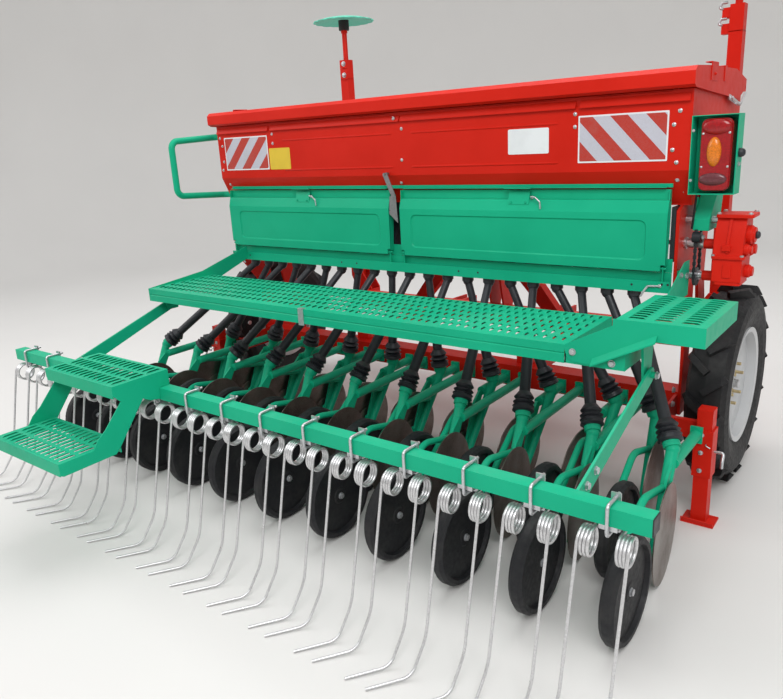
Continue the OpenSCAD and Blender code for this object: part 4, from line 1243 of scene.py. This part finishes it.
@dataclass
class Cover:
    """Hinged cover over the metering units with its recessed panel, catch bracket and wire hook."""

    side: int
    inner: float
    panel: tuple[float, float]
    outer: float = 1210.0
    face: float = 858.0
    low: float = 968.0
    crease: float = 1184.0
    fold: float = 1229.0
    high: float = 1268.0
    recess: float = 5.0
    thick: float = 3.0

    @property
    def name(self) -> str:
        """Name of the solid that it stands for."""
        return "cover_left" if self.side < 0 else "cover_right"

    def face_sheet(self, shape: Shape, shift: float) -> None:
        """Add one surface of the rear wall with the panel pressed into it.

        Args:
            shape: Shape to be added to.
            shift: Distance behind the outer surface.
        """
        y = self.face + shift
        low, high = self.low + 24, self.crease
        xs = sorted((self.side * self.inner, self.side * self.outer))
        panel = sorted((self.side * self.panel[0], self.side * self.panel[1]))
        edge = rounded(panel[0], panel[1], 1006, 1158, 26)
        floor = rounded(panel[0] + 5, panel[1] - 5, 1011, 1153, 22)
        corners = [(xs[1], high), (xs[0], high), (xs[0], low), (xs[1], low)]
        points = [Vector((x, y, z)) for x, z in corners + edge]
        points += [Vector((x, y + self.recess, z)) for x, z in floor]
        faces: Faces = []
        for k in range(4):
            faces += [(k, 4 + 5 * k + i, 5 + 5 * k + i) for i in range(4)]
            faces.append((k, 8 + 5 * k, 4 + (5 * k + 5) % 20, (k + 1) % 4))
        faces += [(4 + i, 4 + (i + 1) % 20, 24 + (i + 1) % 20, 24 + i) for i in range(20)]
        faces.append(tuple(range(24, 44)))
        shape.add(points, faces)

    def build(self) -> None:
        """Build the cover in place of its solid."""
        s, t, y = self.side, self.thick, self.face
        shape = Shape()
        self.face_sheet(shape, 0.0)
        self.face_sheet(shape, t)
        xs = sorted((s * self.inner, s * self.outer))
        for x in xs:
            shape.prism(Axis.X, [(y, self.low + 24), (y + t, self.low + 24), (y + t, self.crease),
                                 (y, self.crease)], x, x - 0.2 if x == xs[1] else x + 0.2)
        lower = sorted((s * (self.inner + 18), s * (self.outer - 18)))
        shape.box((lower[0], y, self.low), (lower[1], y + t, self.low + 24))
        shape.prism(Axis.X, [(y, self.crease), (y + 13, self.fold), (y + 30, self.fold + 2),
                             (y + 30, self.high), (y + 33, self.high), (y + 33, self.fold - 1),
                             (y + 15, self.fold - 3), (y + t, self.crease)], *xs)
        for x in (self.inner, self.outer - t):
            shape.prism(Axis.X, [(y + 0.1, self.low + 24), (y + 0.1, self.crease), (y + 13.1, self.fold),
                                 (y + 15, self.high), (y + 36, self.high), (y + 36, self.crease - 40),
                                 (y + 26, self.low + 30), (y + 22, self.low + 19), (y + 3, self.low + 19)],
                        s * x, s * (x + t))
        piece = shape.make(self.name + "_sheet", self.name, [GREEN], 30.0)
        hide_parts(self.name)
        middle = s * (self.inner + self.outer) / 2
        fitting = Shape()
        fitting.prism(Axis.X, [(y + 5, 1210), (y + 8.4, 1210), (y + 15, 1232), (y + 24, 1262),
                               (y + 20.5, 1262), (y + 11, 1232)], middle - 48, middle + 48)
        for x in (-34, 34):
            fitting.rivet((middle + x, y + 6, 1218), (0, -1, 0.3), 5)
        fitting.make(self.name + "_bracket", self.name, [GREEN], bevel=0.8)
        hook = Shape()
        hook.wire([(middle + 62, y + 12, 1238), (middle + 62, y - 8, 1243), (middle + 84, y - 8, 1240),
                   (middle + 104, y - 6, 1222), (middle + 104, y - 2, 1194)], 3.6, 8.0)
        hook.rivet((middle + 62, y + 12, 1238), (0, -1, 0.3), 7)
        hook.make(self.name + "_hook", self.name, [ZINC], 60.0)


@dataclass
class OutletBack:
    """Wall behind the outlets, lips over the covers, end housings, the outlet rail's holes as thin black discs
    of painted shade, and the rail's hooks.
    """

    half: float = 1228.0
    rail: float = 863.0
    heights: tuple[float, float, float] = (889.0, 960.0, 1012.0)
    lips: tuple[tuple[float, float], ...] = ((-1195.0, -95.0), (5.0, 1195.0))
    lip_rear: float = 869.0
    lip_front: float = 897.0
    lip_low: float = 1274.5
    lip_thick: float = 2.5
    housing: tuple[float, float] = (1213.0, 1229.0)
    hole: float = 4.6
    hook_x: float = 1192.0
    holes: tuple[tuple[float, float], ...] = ((1086, 910), (1200, 918), (1222, 918), (400, 910), (-300, 910))

    def build(self) -> None:
        """Build the wall, the end housings, the black discs of painted shade for the holes and the hooks."""
        wall = Shape()
        low, step, high = self.heights
        wall.box((-self.half, 883.5, low), (self.half, 885.8, step))
        wall.box((-self.half, 886.5, step), (self.half, 889.0, high))
        for x0, x1 in self.lips:
            wall.box((x0, self.lip_rear, self.lip_low), (x1, self.lip_front, self.lip_low + self.lip_thick))
        wall.make("outlet_back", "machine", [GREEN])
        dark = Shape()
        for s in (-1, 1):
            near, far = sorted(s * x for x in self.housing)
            dark.box((near, 893, 1000), (far, 1040, 1203))
            # The holes are not cut: each is a thin black disc on the rail face, painted shade for the dark
            # inside of a hole
            for x, z in self.holes:
                dark.turned((s * x, self.rail, z), REARWARD,
                            [(0, -0.3), (self.hole, -0.3), (self.hole, 0.4), (0, 0.4)], 14)
        dark.make("outlet_housings_and_hole_shades", "machine", [PLASTIC])
        hooks = Shape()
        for s in (-1, 1):
            x = self.hook_x
            hooks.wire([(s * x, 862, 911), (s * (x - 42), 857, 910), (s * (x - 54), 855, 893),
                        (s * (x - 68), 855, 868)], 4.0, 9.0)
            hooks.rivet((s * x, self.rail, 911), REARWARD, 7)
        hooks.make("outlet_hooks", "machine", [ZINC], 60.0)


@dataclass
class LidEnds:
    """Bent tabs and chrome toggles on the lid's ends."""

    half: float = 1284.0
    sheet: float = 3.0
    fold: float = 22.0
    tab_low: float = 1640.0
    tabs: tuple[tuple[float, float, float], ...] = ((1027.0, 1114.0, 1704.0), (1211.0, 1240.0, 1697.0))
    toggle_pin: tuple[float, float] = (1330.0, 1582.0)
    lever_pin: tuple[float, float] = (1436.0, 1560.0)

    def build(self) -> None:
        """Build the tabs and the toggles."""
        tabs = Shape()
        toggles = Shape()
        for s in (-1, 1):
            t, out = self.sheet, self.half + self.sheet
            wall = sorted((s * self.half, s * out))
            fold = sorted((s * out, s * (self.half - self.fold)))
            for low, high, top in self.tabs:
                tabs.box((wall[0], low, self.tab_low), (wall[1], high, top - t))
                tabs.box((fold[0], low, top - t), (fold[1], high, top))
            tabs.rivet((s * out, 1070, 1662), (s, 0, 0), 7)
            x = s * self.half
            toggles.prism(Axis.X, [(1306, 1576), (1452, 1552), (1456, 1570), (1310, 1596)], x, x + s * 3)
            (y0, z0), (y1, z1) = self.toggle_pin, self.lever_pin
            toggles.wire([(x + s * 9, y0, z0), (x + s * 14, 1440, 1556), (x + s * 14, 1512, 1602)], 4.0, 14.0)
            toggles.rod((x + s * 2, y0, z0), (x + s * 12, y0, z0), 7)
            toggles.rod((x + s * 2, y1, z1), (x + s * 17, y1, z1), 9)
        tabs.make("lid_tabs", "lid", [RED], bevel=0.6)
        toggles.make("lid_toggles", "lid", [ZINC], 50.0)


@dataclass
class Gearbox:
    """Cast gearbox with its flanges, ribs, bosses and sockets, and the chain drive beside it."""

    left: float = 1362.0
    right: float = 1462.0
    tube_y: float = 985.0
    heights: tuple[float, float] = (940.0, 1060.0)
    wall: float = 1242.0
    bore: float = 14.3
    chain_top: float = 1110.0
    chain_half: float = 34.0
    flanges: tuple[tuple[float, ...], ...] = ((4, 22, 926, 1042, 16, 1163, 1176),
                                              (6, 8, 899, 1040, 14, 1018, 1030),
                                              (-4, -2, 908, 1034, 14, 922, 936))
    cap_top: float = 1176.0
    feed: tuple[float, float] = (950.0, 1088.0)
    sleeves: tuple[float, float] = (1302.0, 1312.0)
    bosses: tuple[Point, ...] = ((975, 1100, 34), (930, 1052, 20), (1000, 1046, 24), (975, 968, 24))

    def casting(self) -> None:
        """Build the casting in place of its solid."""
        a, b = self.left, self.right
        cast = Shape()
        cast.prism(Axis.X, [(906, 934), (1036, 934), (1036, 1164), (944, 1164), (906, 1086)], a, b)
        for before, past, rear, front, r, low, high in self.flanges:
            cast.prism(Axis.Z, rounded(a - before, b + past, rear, front, r), low, high)
        cast.prism(Axis.X, [(900, 1040), (900, 1088), (938, 1166), (946, 1166), (908, 1084), (908, 1040)],
                   a + 44, a + 54)
        cast.prism(Axis.Y, rounded(a + 30, a + 60, 1048, 1070, 3), 896, 908)
        cast.prism(Axis.Y, rounded(a + 36, a + 66, 950, 1000, 5), 902, 908)
        for y, z, r in self.bosses:
            cast.turned((b - 1, y, z), RIGHTWARD, [(0, 0), (r, 0), (r, 15), (r - 6, 20), (r - 6, 27),
                                                   (0, 27)], 28)
        for z in self.heights:
            cast.turned((a, self.tube_y, z), LEFTWARD, [(0, -1), (24, -1), (24, 6), (19, 10), (19, 50),
                                                        (0, 50)], 24)
        piece = cast.make("gearbox_casting", "machine", [RED], 35.0, bevel=2.2)
        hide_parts("gearbox")

    def guard(self) -> None:
        """Build the chain guard in place of its solid."""
        shape = Shape()
        shape.prism(Axis.X, [(946, 1112), (1090, 1112), (1120, 1230), (1046, 1258), (946, 1154)], 1276, 1334)
        shape.box((1270, 985, 1180), (1276, 1010, 1230))
        piece = shape.make("chain_guard_box", "machine", [GREEN], 30.0, bevel=2.5)
        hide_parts("chain_guard")

    def chain(self) -> None:
        """Build the chain with its two wheels between the side plate and the gearbox."""
        shape = Shape()
        y, low, high, bore = self.tube_y, self.heights[0], self.chain_top, self.bore
        half, straight, bent = self.chain_half, 15, 12
        for k in range(straight):
            z, step = low + k * (high - low) / (straight - 1), 2 * (k % 2)
            for side in (y - half, y + half):
                shape.box((1283 + step, side - 5, z - 7), (1295 - step, side + 5, z + 7))
        for k in range(bent):
            a = math.pi + math.pi * (k + 0.5) / bent
            ly, lz = y + half * math.cos(a), low + half * math.sin(a)
            shape.box((1284, ly - 6, lz - 6), (1294, ly + 6, lz + 6))
        shape.turned((1286, y, low), RIGHTWARD, [(bore, 0), (30, 0), (30, 6), (bore, 6)], 24)
        shape.turned((1278, *self.feed), RIGHTWARD, [(0, 0), (20, 0), (20, 30), (0, 30)], 20)
        shape.make("feed_chain", "machine", [PLASTIC], 30.0)

    def build(self) -> None:
        """Build casting, guard, chain, sleeves, bolts and knob."""
        self.casting()
        self.guard()
        self.chain()
        a, b = self.left, self.right
        bolts = Shape()
        for x in (a + 6, b + 10):
            for y in (938, 1030):
                bolts.bolt((x, y, self.cap_top), UPWARD, 8)
        for x in (a + 2, b - 2):
            bolts.bolt((x, 906, 1030), UPWARD, 7)
        for z, end in zip(self.heights, self.sleeves):
            reach = end - self.wall
            bolts.turned((self.wall, self.tube_y, z), RIGHTWARD,
                         [(self.bore, 0), (22, 0), (22, 8), (18, 10), (18, reach), (self.bore, reach)], 24)
        bolts.bolt((1312, *self.feed), RIGHTWARD, 9)
        bolts.make("gearbox_bolts", "machine", [ZINC], 40.0)
        knob = Shape()
        knob.turned((b + 25, *self.bosses[0][:2]), RIGHTWARD,
                    [(0, 0), (12, 0), (14, 5), (12, 12), (6, 15), (0, 15)], 18)
        knob.make("gearbox_knob", "machine", [PLASTIC], 50.0)


@dataclass
class Tines:
    """Double spring tines of round wire, each wound up from its clamp and bent down to its dragging end."""

    count: int = 15
    pitch: float = 207.4
    coil_y: float = -300.0
    coil_z: float = 495.0
    coil_radius: float = 37.8
    wire: float = 4.6
    half: float = 50.0
    turns: int = 4
    winding: float = 10.0
    bend: float = 34.0
    lean: float = 13.0
    leg: float = 410.0

    def path(self, x: float, s: int) -> list[Point]:
        """Middle line of one tine from its clamp to its end.

        Args:
            x: Middle of the pair.
            s: Side of the pair, -1 or 1.

        Returns:
            Places along the wire.
        """
        r, y, z = self.coil_radius, self.coil_y, self.coil_z
        spread = (self.turns - 1) * self.winding / 2
        inner, outer = self.half - spread, self.half + spread
        line: list[Point] = [(x, y + 41, z + r), (x + s * (inner - 10), y + 41, z + r),
                             (x + s * (inner - 3), y + 38, z + r), (x + s * inner, y + 30, z + r)]
        end = 360.0 * (self.turns - 1) + 90.0 - self.lean
        steps = 22 * self.turns
        for k in range(steps + 1):
            a, out = math.radians(end * k / steps), inner + (outer - inner) * k / steps
            line.append((x + s * out, y - r * math.sin(a), z + r * math.cos(a)))
        lean = math.radians(self.lean)
        foot = Vector(line[-1]) - Vector((0, math.sin(lean), math.cos(lean))) * self.leg
        heel = Vector((x + s * outer - 6, y - 200, 9.0))
        tip = heel - Vector((84, 110, 4.2))
        for a, b, c in ((Vector(line[-1]), foot, heel), (foot, heel, tip)):
            for k in range(1, 7):
                t = k / 7
                start, stop = b + (a - b).normalized() * self.bend, b + (c - b).normalized() * self.bend
                line.append(tuple(start.lerp(b, t).lerp(b.lerp(stop, t), t)))
        line.append(tuple(tip))
        return line

    def build(self) -> None:
        """Build the tines in place of their solid."""
        shape = Shape()
        for k in range(self.count):
            x = (k - (self.count - 1) / 2) * self.pitch
            for s in (-1, 1):
                shape.tube(self.path(x, s), self.wire, 8)
        piece = shape.make("tine_wires", "harrow", [TINE_WIRE], 60.0)
        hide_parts("tines")
        caps = Shape()
        for s in (-1, 1):
            near, far = sorted((s * 1559, s * 1563.5))
            caps.box((near, -299, 551), (far, -251, 599))
        caps.make("beam_caps", "harrow", [PLASTIC], bevel=1.5)


@dataclass
class WheelTrim:
    """Studs of the land wheels, axle nuts and the bolts of the press wheels."""

    place: float = 1364.0
    axle: Point = (0.0, 1307.0, 420.0)
    stud_circle: float = 85.0
    studs: int = 6
    row: float = 286.0

    def build(self) -> None:
        """Build studs, nuts and bolts."""
        _, y, z = self.axle
        for s, body in ((-1, "wheel_left"), (1, "wheel_right")):
            shape = Shape()
            for k in range(self.studs):
                a = 2 * math.pi * k / self.studs + 0.3
                foot = (s * self.place, y + self.stud_circle * math.cos(a),
                        z + self.stud_circle * math.sin(a))
                shape.nut(foot, (s, 0, 0), 15)
                shape.rod(foot, (s * (self.place + 44), foot[1], foot[2]), 7)
            shape.make(body + "_studs", body, [YELLOW_ZINC])
        ends = Shape()
        for s in (-1, 1):
            ends.bolt((s * 1394, y, z), (s, 0, 0), 20)
        for side, count, start, place, body in ((-1, 11, 5.0, 0.0, "press_wheels_rear"),
                                                (1, 10, 4.5, 319.0, "press_wheels_front")):
            hubs = Shape()
            for i in range(count):
                x = (start - i) * self.row - 25.0
                s = -1 if side < 0 or i == 0 else 1
                hubs.bolt((x - s * 13, place, 170), (-s, 0, 0), 13)
                ends.bolt((x + s * 55, place, 170), (s, 0, 0), 12)
            hubs.make(body + "_bolts", body, [ZINC])
        ends.make("axle_ends", "machine", [ZINC])


@dataclass
class StandTrim:
    """Pins and bolts of the parking stands and the upturned rims of their feet."""

    place: float = 1403.0
    rear: float = 795.7
    pin_y: float = 830.0
    pin_z: float = 300.0
    pin: float = 6.0
    grip: float = 34.0
    outer: tuple[float, float] = (1505.0, 1437.3)
    inner: tuple[float, float] = (1368.7, 1358.0)
    bolts: tuple[float, ...] = (226.0, 300.0, 372.0)
    foot: float = 60.0

    def build(self) -> None:
        """Build pins, bolts and rims."""
        pins = Shape()
        for s in (-1, 1):
            out = self.outer[0] if s < 0 else self.outer[1]
            y, z, end, clip = self.pin_y, self.pin_z, s * (out + self.grip), self.rear - 14
            pins.wire([(s * out, y, z), (end, y, z), (end, y - 18, z - 32), (end, y - 18, z - 54)],
                      self.pin, 10.0)
            pins.rod((s * self.inner[0], y, z), (s * self.inner[1], y, z), self.pin)
            pins.wire([(s * (self.place + 12), self.rear, 338), (s * (self.place + 12), clip, 338),
                       (s * (self.place + 30), clip, 330)], 2.2, 5.0)
            for height in self.bolts:
                pins.bolt((s * (self.place - 6), self.rear, height), REARWARD, 9)
            name = "stand_left" if s < 0 else "stand_right"
            rim = Shape()
            x = s * self.place
            rim.prism(Axis.X, [(789, 7), (785, 7), (779, 22), (783, 24)], x - self.foot, x + self.foot)
            rim.make(name + "_rim", name, [RED], bevel=0.8)
        pins.make("stand_pins", "machine", [ZINC], 50.0)


@dataclass
class FrameBolts:
    """Bolts on the harrow's arms and hangers and on the side plates."""

    size: float = 12.0
    arms: tuple[float, float] = (-1092.0, 1354.0)
    arm_slope: float = 0.32
    hangers: tuple[float, float] = (-1106.0, 1368.0)
    plate: float = 1242.0
    plate_bolts: tuple[tuple[float, float], ...] = ((930, 1260), (1040, 1260), (940, 420), (940, 480))

    def build(self) -> None:
        """Build the bolts of each body."""
        fixed = Shape()
        moving = Shape()
        for s, arm, hanger in zip((-1, 1), self.arms, self.hangers):
            for y in (-200, -140):
                moving.bolt((arm, y, 575 + (y + 250) * self.arm_slope), (s, 0, 0), self.size)
            fixed.bolt((hanger, 300, 752), (s, 0, 0), self.size)
        for s in (-1, 1):
            for y, z in self.plate_bolts:
                fixed.bolt((s * self.plate, y, z), (s, 0, 0), self.size)
        fixed.make("frame_bolts", "machine", [ZINC])
        moving.make("harrow_bolts", "harrow", [ZINC])


@dataclass
class MarkerTrim:
    """Upper tubes, bars, hubs, clamps and notched discs of the row markers."""

    place: float = 1160.0
    depth: float = 1900.0
    tube: tuple[float, float] = (1878.0, 1994.0)
    tube_half: float = 30.0
    clamps: tuple[float, float] = (1902.0, 1969.0)
    hub_low: float = 2168.0
    radius: float = 190.0
    notch: float = 11.0
    rim: float = 2221.0
    crown: float = 2249.0

    def disc(self, side: int) -> None:
        """Build one notched disc in place of its solid.

        Args:
            side: -1 for the left marker, 1 for the right one.
        """
        shape = Shape()
        count, rings = 96, (0.18, 0.45, 0.72, 1.0)
        points: list[Vector] = []
        for drop in (0.0, 5.0):
            for share in rings:
                for k in range(count):
                    a = 2 * math.pi * k / count
                    r = share * (self.radius - (self.notch if share == 1.0 and k % 6 < 2 else 0.0))
                    z = self.rim + (self.crown - self.rim) * (1 - share * share) - drop
                    points.append(Vector((side * self.place + r * math.cos(a),
                                          self.depth + r * math.sin(a), z)))
        under = count * len(rings)
        faces: Faces = []
        for i in range(0, under - count, count):
            for k in range(count):
                n = (k + 1) % count
                faces += [(i + k, i + count + k, i + count + n, i + n),
                          (under + i + n, under + i + count + n, under + i + count + k, under + i + k)]
        for k in range(count):
            n = (k + 1) % count
            faces.append((under - count + k, 2 * under - count + k, 2 * under - count + n, under - count + n))
        faces += [tuple(range(count)), tuple(reversed(range(under, under + count)))]
        shape.add(points, faces)
        name = "marker_disc_left" if side < 0 else "marker_disc_right"
        # The disc takes the paler copy of the green paint, a painted highlight for its sunlit look, not a
        # paint of its own
        piece = shape.make(name + "_plate", name, [SUNLIT_GREEN_LOOK], 40.0)
        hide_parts(name)

    def build(self) -> None:
        """Build the markers' upper parts."""
        y, half = self.depth, self.tube_half
        for s, body in ((-1, "marker_left"), (1, "marker_right")):
            x = s * self.place
            shape = Shape()
            shape.box((x - half, y - half, self.tube[0]), (x + half, y + half, self.tube[1]))
            shape.box((x - 15, y - 7, self.tube[1]), (x + 15, y + 7, self.hub_low))
            zinc = Shape()
            for z in self.clamps:
                if s < 0:
                    shape.box((x - 8, y - half - 10, z - 26), (x + half, y - half, z + 20))
                    zinc.bolt((x + 12, y - half - 10, z), REARWARD, 15)
                else:
                    shape.box((x - half - 34, y - 22, z - 30), (x - half, y + 22, z + 14))
                    zinc.wire([(x - half - 30, y - 24, z + 12), (x - half - 62, y - 24, z - 16),
                               (x - half - 36, y - 24, z + 34), (x - half - 12, y - 24, z + 34)], 6.0, 8.0)
            shape.make(body + "_upper_tube", body, [RED], bevel=1.0)
            zinc.make(body + "_clamps", body, [ZINC], 50.0)
            hub = Shape()
            hub.turned((x, y, self.hub_low), UPWARD, [(0, 0), (30, 0), (33, 4), (33, 60), (0, 60)], 24)
            hub.make(body + "_hub", body, [BLACK_HUB])
            self.disc(s)


def main() -> None:
    """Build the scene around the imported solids."""
    logging.basicConfig(level=logging.INFO, format="%(name)s: %(message)s")
    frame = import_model()
    Studio().build()
    CadFinishes(frame).build()
    HopperTrim().build()
    Walkway().build()
    Ladder().build()
    TailLamp().build()
    SideStep().build()
    Cover(1, -13.0, (46.0, 1133.0)).build()
    Cover(-1, 77.0, (136.0, 1133.0)).build()
    OutletBack().build()
    LidEnds().build()
    Gearbox().build()
    Tines().build()
    WheelTrim().build()
    StandTrim().build()
    FrameBolts().build()
    MarkerTrim().build()


if __name__ == "__main__":
    main()
